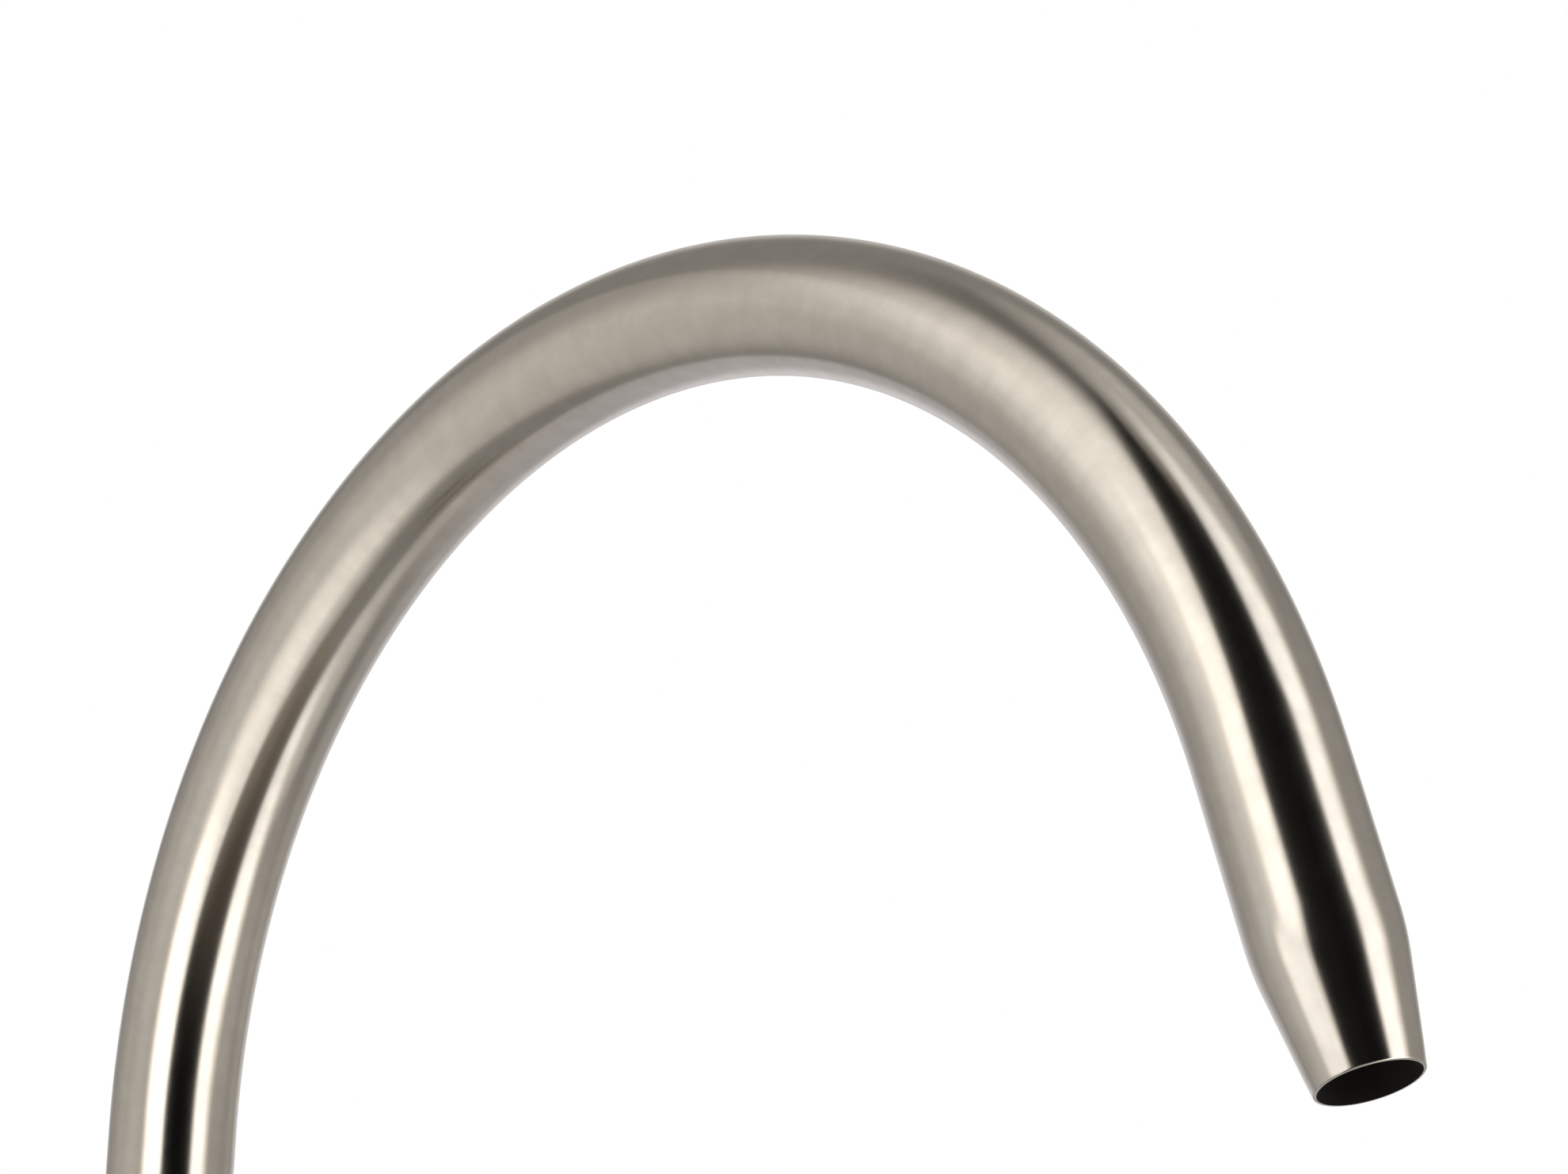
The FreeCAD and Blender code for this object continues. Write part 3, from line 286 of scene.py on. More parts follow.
# %% Strips of the studio
def stage_strip(name, levels, material):
    """An upright strip. Each level is (height, points on the plan), with as many points on each."""
    lowest = levels[0][0]
    highest = levels[-1][0]
    columns = len(levels[0][1])
    points, places, faces = [], [], []
    for height, plan in levels:
        share_up = (height - lowest) / (highest - lowest)
        for index, point in enumerate(plan):
            points.append((*point, height))
            places.append((index / (columns - 1), share_up))
    for level in range(len(levels) - 1):
        for index in range(columns - 1):
            corner = level * columns + index
            faces.append((corner, corner + 1, corner + columns + 1, corner + columns))
    mesh = bpy.data.meshes.new(name)
    mesh.from_pydata(points, [], faces)
    across = mesh.uv_layers.new(name="across")
    for loop in mesh.loops:
        across.data[loop.index].uv = places[loop.vertex_index]
    mesh.materials.append(material)
    strip = add_object(name, mesh)
    strip.visible_camera = False
    strip.visible_shadow = False
    strip.visible_diffuse = False
    print("strip:", name, "from", lowest, "to", highest, "m")


def height_profile(tree, share_up, profile):
    """A value along the height of a strip. The profile is (share of the height, value), from below."""
    ramp_node = add_node(tree, "ShaderNodeValToRGB", {0: share_up})
    ramp = ramp_node.color_ramp
    ramp.interpolation = "EASE"
    while len(ramp.elements) < len(profile):
        ramp.elements.new(0.5)
    for stop, (height, share) in zip(ramp.elements, profile):
        stop.position = height
        stop.color = (share, share, share, 1.0)
    return ramp_node.outputs[0]


def strip_material(name):
    """An empty material for a strip, with the shares across it and up it."""
    material = bpy.data.materials.new(name)
    material.use_nodes = True
    tree = material.node_tree
    tree.nodes.clear()
    place = add_node(tree, "ShaderNodeUVMap", uv_map="across").outputs[0]
    apart = add_node(tree, "ShaderNodeSeparateXYZ", {0: place}).outputs
    return material, tree, apart[0], apart[1]


print("strip helpers ready")

# %% [markdown]
# A softbox fades towards its ends and its sides, and at the sides its light is warmer. An emission
# shader on a solid plane would blot out the tent behind that fade, so the emission is added to a
# transparent shader. It shows in the first mirror bounce only, because the mirror image of a mirror
# image adds little but noise. The cloth is nearly black and thins out towards its upper and lower ends.

# %% Glow and cloth materials
WARM_EDGE = (1.0, 0.72, 0.44, 1.0)
PALE_EDGE = (1.0, 0.90, 0.78, 1.0)
CLOTH_BLACK = (0.0015, 0.0012, 0.001, 1.0)
CLOTH_THIN = (1.0, 0.90, 0.78, 1.0)
# a ray that the metal mirrors once has a depth of 1, and one that is mirrored again has 2
FIRST_MIRROR_BELOW = 1.5


def glow_material(name, profile, edge_colour, strength, side_fade):
    """Light added over what lies behind, in another colour where it fades at the sides."""
    material, tree, share_across, share_up = strip_material(name)
    left_fade, right_fade = side_fade
    from_left = spread(tree, share_across, 0.0, left_fade, smooth=True)
    from_right = spread(tree, share_across, 1.0 - right_fade, 1.0, 1.0, 0.0, smooth=True)
    sides = maths(tree, "MULTIPLY", from_left, from_right)
    shape = maths(tree, "MULTIPLY", height_profile(tree, share_up, profile), sides)
    bounces = add_node(tree, "ShaderNodeLightPath").outputs["Ray Depth"]
    shown = maths(tree, "MULTIPLY", shape, maths(tree, "LESS_THAN", bounces, FIRST_MIRROR_BELOW))
    light = add_node(tree, "ShaderNodeEmission", {
        "Color": tint(tree, sides, edge_colour, WHITE),
        "Strength": maths(tree, "MULTIPLY", shown, strength),
    })
    behind = add_node(tree, "ShaderNodeBsdfTransparent")
    added = add_node(tree, "ShaderNodeAddShader", {0: light.outputs[0], 1: behind.outputs[0]})
    add_node(tree, "ShaderNodeOutputMaterial", {"Surface": added.outputs[0]})
    return material


def cloth_material(profile):
    """Black stage cloth that covers what lies behind as much as the profile says."""
    material, tree, _, share_up = strip_material("stage_cloth")
    black = add_node(tree, "ShaderNodeBsdfDiffuse", {"Color": CLOTH_BLACK}).outputs[0]
    clear = add_node(tree, "ShaderNodeBsdfTransparent", {"Color": CLOTH_THIN}).outputs[0]
    cover = height_profile(tree, share_up, profile)
    mixed = add_node(tree, "ShaderNodeMixShader", {0: cover, 1: clear, 2: black})
    add_node(tree, "ShaderNodeOutputMaterial", {"Surface": mixed.outputs[0]})
    return material


print("glow and cloth ready")

# %% [markdown]
# The left softbox stands to the left of the camera, nearer to the tube, and is wider at the height that
# the riser mirrors. Its profile gives the share of its strength at each share of its height. The wing is
# a dim panel that goes on to the left of it, so the stripe ends softly there.

# %% Left softbox and its wing
# height, and where the strip starts and ends from left to right
LEFT_SPANS = (
    (-0.05, 0.030, 0.145),
    (0.17, -0.006, 0.147),
    (0.215, -0.010, 0.141),
    (0.25, 0.030, 0.135),
    (0.65, 0.030, 0.115),
)
LEFT_DEPTH = -0.158
LEFT_SLANT = -0.144
LEFT_PROFILE = [
    (0.10, 0.0), (0.19, 0.22), (0.305, 0.24), (0.355, 0.74),
    (0.42, 0.74), (0.50, 0.57), (0.62, 0.19), (0.95, 0.0),
]
WING_PLAN = [(-0.135, -0.139), (0.055, -0.166)]
WING_FOOT = 0.10
WING_TOP = 0.46
WING_PROFILE = [(0.0, 0.0), (0.28, 0.32), (0.40, 0.55), (0.50, 1.0), (0.72, 0.65), (1.0, 0.0)]

left_levels = []
for height, *reaches in LEFT_SPANS:
    left_levels.append((height, [(reach, LEFT_DEPTH + LEFT_SLANT * reach) for reach in reaches]))
left_glow = glow_material(
    "left_softbox_glow", LEFT_PROFILE, WARM_EDGE, strength=1.05, side_fade=(0.25, 0.10)
)
stage_strip("left_softbox", left_levels, left_glow)
wing_glow = glow_material(
    "left_wing_glow", WING_PROFILE, PALE_EDGE, strength=0.30, side_fade=(0.55, 0.25)
)
stage_strip("left_wing", [(WING_FOOT, WING_PLAN), (WING_TOP, WING_PLAN)], wing_glow)

# %% [markdown]
# The right softbox is much taller, because the bend also mirrors what is high above it. It is brightest
# at the height of the faucet and dims above and below. It stands on a slanting line, and each span is
# measured along that line.

# %% Right softbox
RIGHT_START = Vector((0.350, -0.018))
RIGHT_END = Vector((0.287, 0.145))
# height, and where the strip starts and ends along its line
RIGHT_SPANS = (
    (-1.2, 0.02, 0.85),
    (-0.1, 0.005, 0.235),
    (0.10, 0.004, 0.27),
    (0.20, 0.003, 0.224),
    (0.45, 0.0, 0.214),
    (0.60, -0.07, 0.24),
    (1.0, -0.09, 0.28),
    (3.0, -0.18, 0.70),
)
RIGHT_PROFILE = [
    (0.02, 0.0), (0.17, 0.06), (0.25, 0.45), (0.31, 1.0),
    (0.37, 0.86), (0.50, 0.42), (0.64, 0.22), (0.98, 0.04),
]

right_along = (RIGHT_END - RIGHT_START).normalized()
right_levels = []
for height, *reaches in RIGHT_SPANS:
    right_levels.append((height, [tuple(RIGHT_START + right_along * reach) for reach in reaches]))
right_glow = glow_material(
    "right_softbox_glow", RIGHT_PROFILE, PALE_EDGE, strength=1.34, side_fade=(0.16, 0.46)
)
stage_strip("right_softbox", right_levels, right_glow)

# %% [markdown]
# The cloth hangs in a wide loop from the left softbox, behind the camera, to the right one. Only its
# left edge leans, which shapes the left side of the black stripe.

# %% Dark cloth
# height, and where the left edge of the cloth is
CLOTH_LEFT = (
    (-1.2, 0.140),
    (-0.1, 0.140),
    (0.12, 0.148),
    (0.23, 0.149),
    (0.37, 0.132),
    (0.60, 0.116),
    (2.4, 0.116),
)
CLOTH_LEFT_DEPTH = -0.180
CLOTH_REST = [(0.31, -0.40), (0.60, -0.35), (0.60, -0.05), (0.352, -0.020)]
CLOTH_PROFILE = [(0.0, 0.0), (0.18, 0.40), (0.30, 0.72), (0.37, 1.0), (0.82, 1.0), (1.0, 0.0)]

cloth_levels = [(height, [(left, CLOTH_LEFT_DEPTH), *CLOTH_REST]) for height, left in CLOTH_LEFT]
stage_strip("dark_cloth", cloth_levels, cloth_material(CLOTH_PROFILE))

# %% [markdown]
# The floor is a plain pale sheet just under the lowest piece. A wide soft sun from above lights it
# evenly, and the plastic and rubber pieces with it. The metal mirrors neither of them, so that its look
# comes from the tent and the strips.

# %% Floor and soft top light
FLOOR_HALF_WIDTH = 6.0
FLOOR_GAP = 0.0002
FLOOR_COLOUR = (0.84, 0.84, 0.83, 1.0)
FLOOR_ROUGHNESS = 0.9
FLOOR_GLOSS = 0.1
SUN_ENERGY = 1.9
SUN_SPREAD = math.radians(70.0)
SUN_TILT = (math.radians(18.0), math.radians(-14.0), 0.0)


def blank_material(name):
    """A material with its tree and its Principled shader, and nothing set."""
    material = bpy.data.materials.new(name)
    material.use_nodes = True
    return material, material.node_tree, material.node_tree.nodes["Principled BSDF"]


floor_level = CAD_BOX[0][2] - FLOOR_GAP
floor_mesh = bpy.data.meshes.new("floor")
floor_corners = []
for sign_x, sign_y in ((-1, -1), (1, -1), (1, 1), (-1, 1)):
    floor_corners.append((FLOOR_HALF_WIDTH * sign_x, FLOOR_HALF_WIDTH * sign_y, floor_level))
floor_mesh.from_pydata(floor_corners, [], [(0, 1, 2, 3)])
floor_material, floor_tree, floor_shader = blank_material("floor_sheet")
fill(floor_tree, floor_shader, {
    "Base Color": FLOOR_COLOUR,
    "Roughness": FLOOR_ROUGHNESS,
    "Specular IOR Level": FLOOR_GLOSS,
})
floor_mesh.materials.append(floor_material)
floor = add_object("floor", floor_mesh)
floor.visible_glossy = False

sun_data = bpy.data.lights.new("soft_top_light", "SUN")
sun_data.energy = SUN_ENERGY
sun_data.angle = SUN_SPREAD
sun = add_object("soft_top_light", sun_data)
sun.rotation_euler = SUN_TILT
sun.visible_glossy = False
print("floor level:", round(floor_level, 4))

# %% [markdown]
# Brushed metal is covered with fine lines that run round the piece, because it was turned against an
# abrasive belt. The lines are a noise texture squeezed hard in one direction. The tube, the collar and
# the brass pieces all need them, so they are one node group: it is given a position whose X runs along
# the piece and whose Y and Z lie across it, and it gives back the fine lines and a slower streakiness.

# %% Brushed lines group
FLOAT = "NodeSocketFloat"
VECTOR = "NodeSocketVector"
LINE_DETAIL = 3.0
STREAK_DETAIL = 2.0
STREAK_COARSENESS = 9.0


def new_group(name, inputs, outputs):
    """An empty node group with named sockets. Each input is (name, socket kind, default)."""
    group = bpy.data.node_groups.new(name, "ShaderNodeTree")
    for socket, kind, default in inputs:
        made = group.interface.new_socket(socket, in_out="INPUT", socket_type=kind)
        made.default_value = default
    for socket, kind in outputs:
        group.interface.new_socket(socket, in_out="OUTPUT", socket_type=kind)
    given = group.nodes.new("NodeGroupInput").outputs
    return group, given, group.nodes.new("NodeGroupOutput").inputs


def make_brushed_lines():
    """Lines across a piece, as a height from 0 to 1, and slower streaks, also from 0 to 1."""
    group, given, out = new_group(
        "brushed_lines",
        [("Position", VECTOR, ORIGIN), ("Line Width", FLOAT, 0.0001), ("Line Length", FLOAT, 0.003)],
        [("Lines", FLOAT), ("Streaks", FLOAT)],
    )
    kinds = (("Lines", 1.0, LINE_DETAIL), ("Streaks", STREAK_COARSENESS, STREAK_DETAIL))
    for output, coarseness, detail in kinds:
        width = maths(group, "DIVIDE", 1.0 / coarseness, given["Line Width"])
        length = maths(group, "DIVIDE", 1.0 / coarseness, given["Line Length"])
        squeeze = add_node(group, "ShaderNodeCombineXYZ", {0: width, 1: length, 2: length}).outputs[0]
        place = vector_maths(group, "MULTIPLY", given["Position"], squeeze)
        noise = add_node(group, "ShaderNodeTexNoise", {"Vector": place, "Scale": 1.0, "Detail": detail})
        group.links.new(noise.outputs[0], out[output])
    return group


brushed_lines = make_brushed_lines()
print("group:", brushed_lines.name)

# %% [markdown]
# Everything that is handled carries a faint uneven bloom, cloudy patches that are a little duller than
# the rest. Moulded plastic and rubber have a pebbled skin from the mould instead of lines. Both are
# plain noise at a stated size in metres, so both come from one group.

# %% Cloud and pebble group
CLOUD_DETAIL = 3.0
PEBBLE_DETAIL = 1.0


def make_mottle():
    """Cloudy patches and fine pebbles of two sizes, each from 0 to 1."""
    group, given, out = new_group(
        "mottle",
        [("Position", VECTOR, ORIGIN), ("Cloud Size", FLOAT, 0.008), ("Pebble Size", FLOAT, 0.0002)],
        [("Clouds", FLOAT), ("Pebbles", FLOAT)],
    )
    kinds = (("Clouds", "Cloud Size", CLOUD_DETAIL), ("Pebbles", "Pebble Size", PEBBLE_DETAIL))
    for output, size, detail in kinds:
        scale = maths(group, "DIVIDE", 1.0, given[size])
        inputs = {"Vector": given["Position"], "Scale": scale, "Detail": detail}
        noise = add_node(group, "ShaderNodeTexNoise", inputs)
        group.links.new(noise.outputs[0], out[output])
    return group


mottle = make_mottle()
print("group:", mottle.name)

# %% [markdown]
# Every corner that a hand or a spanner rubs is a little brighter. Blender's Bevel node rounds the
# shading normal near a corner, so where it differs from the surface's own normal there is an edge. That
# difference is the mask.

# %% Edge rub group
BEVEL_SAMPLES = 4
FLAT_AGREEMENT = 0.995
EDGE_AGREEMENT = 0.85


def make_edge_rub():
    """A mask that is 1 along corners and 0 elsewhere."""
    group, given, out = new_group("edge_rub", [("Width", FLOAT, 0.0003)], [("Edge", FLOAT)])
    rounded = add_node(group, "ShaderNodeBevel", {"Radius": given["Width"]}, samples=BEVEL_SAMPLES)
    own_normal = add_node(group, "ShaderNodeNewGeometry").outputs["Normal"]
    agreement = vector_maths(group, "DOT_PRODUCT", rounded.outputs[0], own_normal, result=1)
    group.links.new(spread(group, agreement, FLAT_AGREEMENT, EDGE_AGREEMENT), out["Edge"])
    return group


edge_rub = make_edge_rub()
print("group:", edge_rub.name)

# %% [markdown]
# A group needs to know which way a piece was turned. On the bent tube no straight axis exists, so the
# mesh itself will carry the unrolled position of each point. On the lathe-turned pieces it is worked out
# from the object's own coordinates: how far along the axis plus how far out from it, so the lines become
# rings on a flat end.

# %% Positions for the groups
# places of X, Y and Z in the order along the axis, across it, and across it the other way
AXIS_ORDER = {"Z": (2, 0, 1), "Y": (1, 0, 2)}


def tube_position(tree):
    """The unrolled place on the spout, which its mesh holds as an attribute."""
    held = add_node(tree, "ShaderNodeAttribute", attribute_name="unrolled", attribute_type="GEOMETRY")
    return held.outputs["Vector"]


def free_position(tree):
    """The object's own coordinates."""
    return add_node(tree, "ShaderNodeTexCoord").outputs["Object"]


def turned_position(axis_place, axis):
    """Positions for pieces that were turned about an upright axis ("Z") or the valve's axis ("Y")."""
    def position(tree):
        moved = vector_maths(tree, "SUBTRACT", free_position(tree), axis_place)
        apart = add_node(tree, "ShaderNodeSeparateXYZ", {0: moved}).outputs
        along, first, second = (apart[place] for place in AXIS_ORDER[axis])
        flat = add_node(tree, "ShaderNodeCombineXYZ", {0: first, 1: second}).outputs[0]
        reach = maths(tree, "ADD", along, vector_maths(tree, "LENGTH", flat, result=1))
        return add_node(tree, "ShaderNodeCombineXYZ", {0: reach, 1: first, 2: second}).outputs[0]
    return position


print("position helpers ready")

# %% [markdown]
# Satin nickel is the finish that the whole faucet shows. It is a metal with a warm grey tint, brushed so
# that it scatters light along the tube but keeps the edges of the stripes across it: an anisotropic
# metal. The lines go into a small bump, and both streaks and clouds shift the roughness and the tint a
# little. Noise seldom leaves the middle of its range from 0 to 1, so a finish stretches a span round the
# middle to all of it.

# %% Satin nickel
NARROW_SPAN = (0.38, 0.62)
MIDDLE_SPAN = (0.35, 0.65)
WIDE_SPAN = (0.30, 0.70)
NICKEL_LIGHT = (0.800, 0.748, 0.672, 1.0)
NICKEL_DARK = (0.748, 0.697, 0.623, 1.0)
# roughness where the metal is dark and where it is light
NICKEL_ROUGHNESS = (0.19, 0.165)
NICKEL_LINES = {"Line Width": 0.00011, "Line Length": 0.0022}
NICKEL_LINE_DEPTH = 0.00002
NICKEL_LINE_STRENGTH = 0.06
NICKEL_STRETCH = 0.35


def place_group(tree, group, inputs):
    """A node group placed in a material with its own values."""
    return add_node(tree, "ShaderNodeGroup", inputs, node_tree=group).outputs


def bump(tree, height, strength, distance):
    """A normal from a height that runs from 0 to 1, where 1 stands this far out."""
    inputs = {"Height": height, "Strength": strength, "Distance": distance}
    return add_node(tree, "ShaderNodeBump", inputs).outputs[0]


def satin_nickel(name, position, turn, streak_share, cloud_size):
    """Brushed nickel for pieces that share one way of finding their position."""
    material, tree, shader = blank_material(name)
    place = position(tree)
    lines = place_group(tree, brushed_lines, {"Position": place, **NICKEL_LINES})
    clouds = place_group(tree, mottle, {"Position": place, "Cloud Size": cloud_size})
    streaky = maths(tree, "MULTIPLY", lines["Streaks"], streak_share)
    cloudy = maths(tree, "MULTIPLY", clouds["Clouds"], 1.0 - streak_share)
    uneven = maths(tree, "ADD", streaky, cloudy)
    fill(tree, shader, {
        "Base Color": tint(tree, spread(tree, uneven, *NARROW_SPAN), NICKEL_DARK, NICKEL_LIGHT),
        "Roughness": spread(tree, uneven, *MIDDLE_SPAN, *NICKEL_ROUGHNESS),
        "Normal": bump(tree, lines["Lines"], NICKEL_LINE_STRENGTH, NICKEL_LINE_DEPTH),
        "Metallic": 1.0,
        "Anisotropic": NICKEL_STRETCH,
        "Anisotropic Rotation": turn,
    })
    return material, tree, shader


nickel_tube, tube_tree, tube_shader = satin_nickel(
    "satin_nickel_tube", tube_position, turn=0.0, streak_share=0.2, cloud_size=0.0018
)
along_tube = add_node(tube_tree, "ShaderNodeTangent", direction_type="UV_MAP", uv_map="unrolled_map")
fill(tube_tree, tube_shader, {"Tangent": along_tube.outputs[0]})
print("finish:", nickel_tube.name)

# %% [markdown]
# The inside of the tube was never polished. Drawn tube is grey and dull inside and the light hardly gets
# in, so the mouth shows as a black hole with a thin bright rim. That shade is painted into the bore's
# colour, which is set near black in place of grey. Plain black would do from afar. For a closer look the
# bore has faint clouds in its painted shade, and pebbles.

# %% Dull bore with painted shade
# the two colours below are painted shade: the bore is grey, but the light hardly reaches into it, so its
# colour is set near black
BORE_SHADE_DARK = (0.006, 0.0045, 0.0035, 1.0)
BORE_SHADE_LIGHT = (0.013, 0.010, 0.008, 1.0)
BORE_ROUGHNESS = (0.75, 0.9)
BORE_SHADE_MOTTLE = {"Cloud Size": 0.004, "Pebble Size": 0.0003}
BORE_PEBBLE_DEPTH = 0.00003
BORE_PEBBLE_STRENGTH = 0.3
BORE_GLOSS = 0.15


def bore_painted_shade():
    """Dull metal inside the tube, with its shade painted in as a near-black colour."""
    material, tree, shader = blank_material("bore_painted_shade")
    # the clouds mottle the painted shade's colour and roughness, and the pebbles only make bumps
    shade_mottle = place_group(tree, mottle, {"Position": free_position(tree), **BORE_SHADE_MOTTLE})
    fill(tree, shader, {
        "Base Color": tint(tree, shade_mottle["Clouds"], BORE_SHADE_DARK, BORE_SHADE_LIGHT),
        "Roughness": spread(tree, shade_mottle["Clouds"], *WIDE_SPAN, *BORE_ROUGHNESS),
        "Normal": bump(tree, shade_mottle["Pebbles"], BORE_PEBBLE_STRENGTH, BORE_PEBBLE_DEPTH),
        "Specular IOR Level": BORE_GLOSS,
    })
    return material


bore_shade_material = bore_painted_shade()
print("finish:", bore_shade_material.name)

# %% [markdown]
# The spout is one drawn tube: a straight riser, a bend of a little under a half turn, a short straight
# tail and a mouth that was swaged down to a smaller bore. A bevelled curve would give the bend, but not
# the swage, the rim or the inside, so the wall is swept as rings along a line. The radius eases into the
# cone over a few millimetres, as metal that is pushed into a die does.

# %% Spout outline
foot_corner, top_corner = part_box("spout_tube")
TUBE_RADIUS = -foot_corner.x
BEND_RADIUS = 0.0589
BEND_ANGLE = math.radians(156.4)
TAIL_LENGTH = 0.0134
SWAGE_LENGTH = 0.0089
SWAGE_EASE = 0.0017
MOUTH_RADIUS = 0.0036

bend_start = top_corner.z - BEND_RADIUS - TUBE_RADIUS
riser_length = bend_start - foot_corner.z
bend_length = BEND_RADIUS * BEND_ANGLE
tail_start = riser_length + bend_length
swage_start = tail_start + TAIL_LENGTH
tube_length = swage_start + SWAGE_LENGTH


def spout_line(along):
    """The middle of the tube and its direction, this far from the foot."""
    if along <= riser_length:
        return Vector((0.0, 0.0, foot_corner.z + along)), Vector((0.0, 0.0, 1.0))
    turn = min(along - riser_length, bend_length) / BEND_RADIUS
    direction = Vector((math.sin(turn), 0.0, math.cos(turn)))
    out = BEND_RADIUS * (1.0 - math.cos(turn))
    middle = Vector((out, 0.0, bend_start + BEND_RADIUS * math.sin(turn)))
    return middle + direction * max(0.0, along - tail_start), direction


def spout_radius(along):
    """The outside radius, with the soft start of the swage."""
    slope = (TUBE_RADIUS - MOUTH_RADIUS) / SWAGE_LENGTH
    past = along - swage_start
    if past <= -SWAGE_EASE:
        return TUBE_RADIUS
    if past < SWAGE_EASE:
        return TUBE_RADIUS - slope * (past + SWAGE_EASE) ** 2 / (4.0 * SWAGE_EASE)
    return TUBE_RADIUS - slope * past


print("tube length:", round(tube_length, 4), "m, bend starts at", round(bend_start, 4))

# %% [markdown]
# The rings run along the outside from the foot to the mouth, round the rim and back along the inside,
# close together where the tube bends or tapers and farther apart where it is straight. The rim is
# chamfered inside, so only a hairline of the wall's end is left bright, and the dull bore, with its shade
# painted into its colour, starts right behind it.

# %% Spout rings
TUBE_WALL = 0.0005
RIM_ROUND = 0.00012
RIM_LAND = 0.00022
RIM_CHAMFER = 0.0006
RIM_STEPS = 6
RISER_STEPS = 12
BEND_STEPS = 130
TAIL_STEPS = 6
EASE_STEPS = 14
CONE_STEPS = 6


def even_steps(start, end, count):
    """Evenly spaced values from start to just before end."""
    return [start + (end - start) * step / count for step in range(count)]


def spout_rings():
    """Each ring of the wall as (distance along the tube, radius), and the ring where the bore starts."""
    ease_start = swage_start - SWAGE_EASE
    ease_end = swage_start + SWAGE_EASE
    alongs = even_steps(0.0, riser_length, RISER_STEPS)
    alongs += even_steps(riser_length, tail_start, BEND_STEPS)
    alongs += even_steps(tail_start, ease_start, TAIL_STEPS)
    alongs += even_steps(ease_start, ease_end, EASE_STEPS)
    alongs += even_steps(ease_end, tube_length - RIM_ROUND, CONE_STEPS)
    rings = [(along, spout_radius(along)) for along in alongs]
    for step in range(RIM_STEPS + 1):
        angle = math.pi / 2.0 * step / RIM_STEPS
        drop = RIM_ROUND * (1.0 - math.sin(angle))
        rings.append((tube_length - drop, MOUTH_RADIUS - RIM_ROUND * (1.0 - math.cos(angle))))
    rings.append((tube_length, MOUTH_RADIUS - RIM_LAND))
    bore_start = len(rings) - 1
    for along in [tube_length - RIM_CHAMFER, *reversed(alongs)]:
        rings.append((along, spout_radius(along) - TUBE_WALL))
    return rings, bore_start


tube_rings, bore_ring = spout_rings()
print("spout rings:", len(tube_rings), "with the bore from ring", bore_ring)

# %% [markdown]
# The mesh is built from the rings. Each point also keeps its unrolled place, the distance along the tube
# and the place round it, for the brushed lines, and a map of the same gives the anisotropic shader its
# direction.

# %% Spout mesh
TUBE_SIDES = 144
RIM_SHARP_FROM = math.radians(40.0)


def ring_faces(ring_count, side_count):
    """Faces between each ring of points and the next one, and from the last ring back to the first."""
    faces = []
    for ring in range(ring_count):
        following = (ring + 1) % ring_count
        for side in range(side_count):
            beside = (side + 1) % side_count
            faces.append((
                ring * side_count + side,
                ring * side_count + beside,
                following * side_count + beside,
                following * side_count + side,
            ))
    return faces


def spout_points():
    """The points of all rings, and the unrolled place of each."""
    points, unrolled = [], []
    for along, radius in tube_rings:
        middle, direction = spout_line(along)
        outward = Vector((direction.z, 0.0, -direction.x))
        for side in range(TUBE_SIDES):
            angle = 2.0 * math.pi * side / TUBE_SIDES
            spoke = outward * math.cos(angle) + Vector((0.0, 1.0, 0.0)) * math.sin(angle)
            points.append(middle + spoke * radius)
            unrolled.append((along, radius * math.cos(angle), radius * math.sin(angle)))
    return points, unrolled


def keep_unrolled(mesh, unrolled):
    """Stores the unrolled places on the points, and as a map that closes on the far side of the seam."""
    store = mesh.attributes.new("unrolled", "FLOAT_VECTOR", "POINT")
    for item, place in zip(store.data, unrolled):
        item.vector = place
    around = mesh.uv_layers.new(name="unrolled_map")
    for face in mesh.polygons:
        for corner in face.loop_indices:
            point = mesh.loops[corner].vertex_index
            side = point % TUBE_SIDES
            if side == 0 and face.vertices[1] % TUBE_SIDES == 0:
                side = TUBE_SIDES
            round_place = side / TUBE_SIDES * 2.0 * math.pi * TUBE_RADIUS
            around.data[corner].uv = (unrolled[point][0], round_place)


def make_spout():
    """The spout's wall as one closed mesh, bright outside, and dull inside with its shade painted dark.
    """
    points, unrolled = spout_points()
    mesh = bpy.data.meshes.new("gooseneck_spout")
    mesh.from_pydata(points, [], ring_faces(len(tube_rings), TUBE_SIDES))
    keep_unrolled(mesh, unrolled)
    mesh.materials.append(nickel_tube)
    # the second material is the bore, whose shade is painted into its near-black colour
    mesh.materials.append(bore_shade_material)
    for face in mesh.polygons:
        face.material_index = 1 if face.index // TUBE_SIDES >= bore_ring else 0
    mesh.shade_smooth()
    mesh.set_sharp_from_angle(angle=RIM_SHARP_FROM)
    return add_object("gooseneck_spout", mesh)


spout = make_spout()
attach(spout, "spout")
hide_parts("spout_tube")
# mirror rays pass through the tube, so neither the tube itself nor the lower pieces mirror it
spout.visible_glossy = False
print("spout faces:", len(spout.data.polygons))

# %% [markdown]
# The shank is a steel pipe. Its screw thread, which the clamp nut runs on, goes from its foot up into
# the base flange. A screw modifier would wind a profile into a helix and leave two open ends to close. A
# plain grid of rings is simpler: its radius rises and falls with the height less the share of a turn,
# which is exactly what a thread is.

# %% Thread outline
THREAD_PITCH = 0.00127
THREAD_DEPTH = 0.00062
THREAD_TOP = 0.002
CREST_SHARE = 0.14
ROOT_SHARE = 0.82
SHANK_BORE = 0.0032
SHANK_CHAMFER = 0.0010

shank_low, shank_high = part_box("threaded_shank")
shank_radius = shank_high.x


def thread_height(turns):
    """How far up its flank the thread is, from 0 at the root to 1 at the crest."""
    from_crest = abs(2.0 * (turns % 1.0) - 1.0)
    return min(1.0, max(0.0, (ROOT_SHARE - from_crest) / (ROOT_SHARE - CREST_SHARE)))


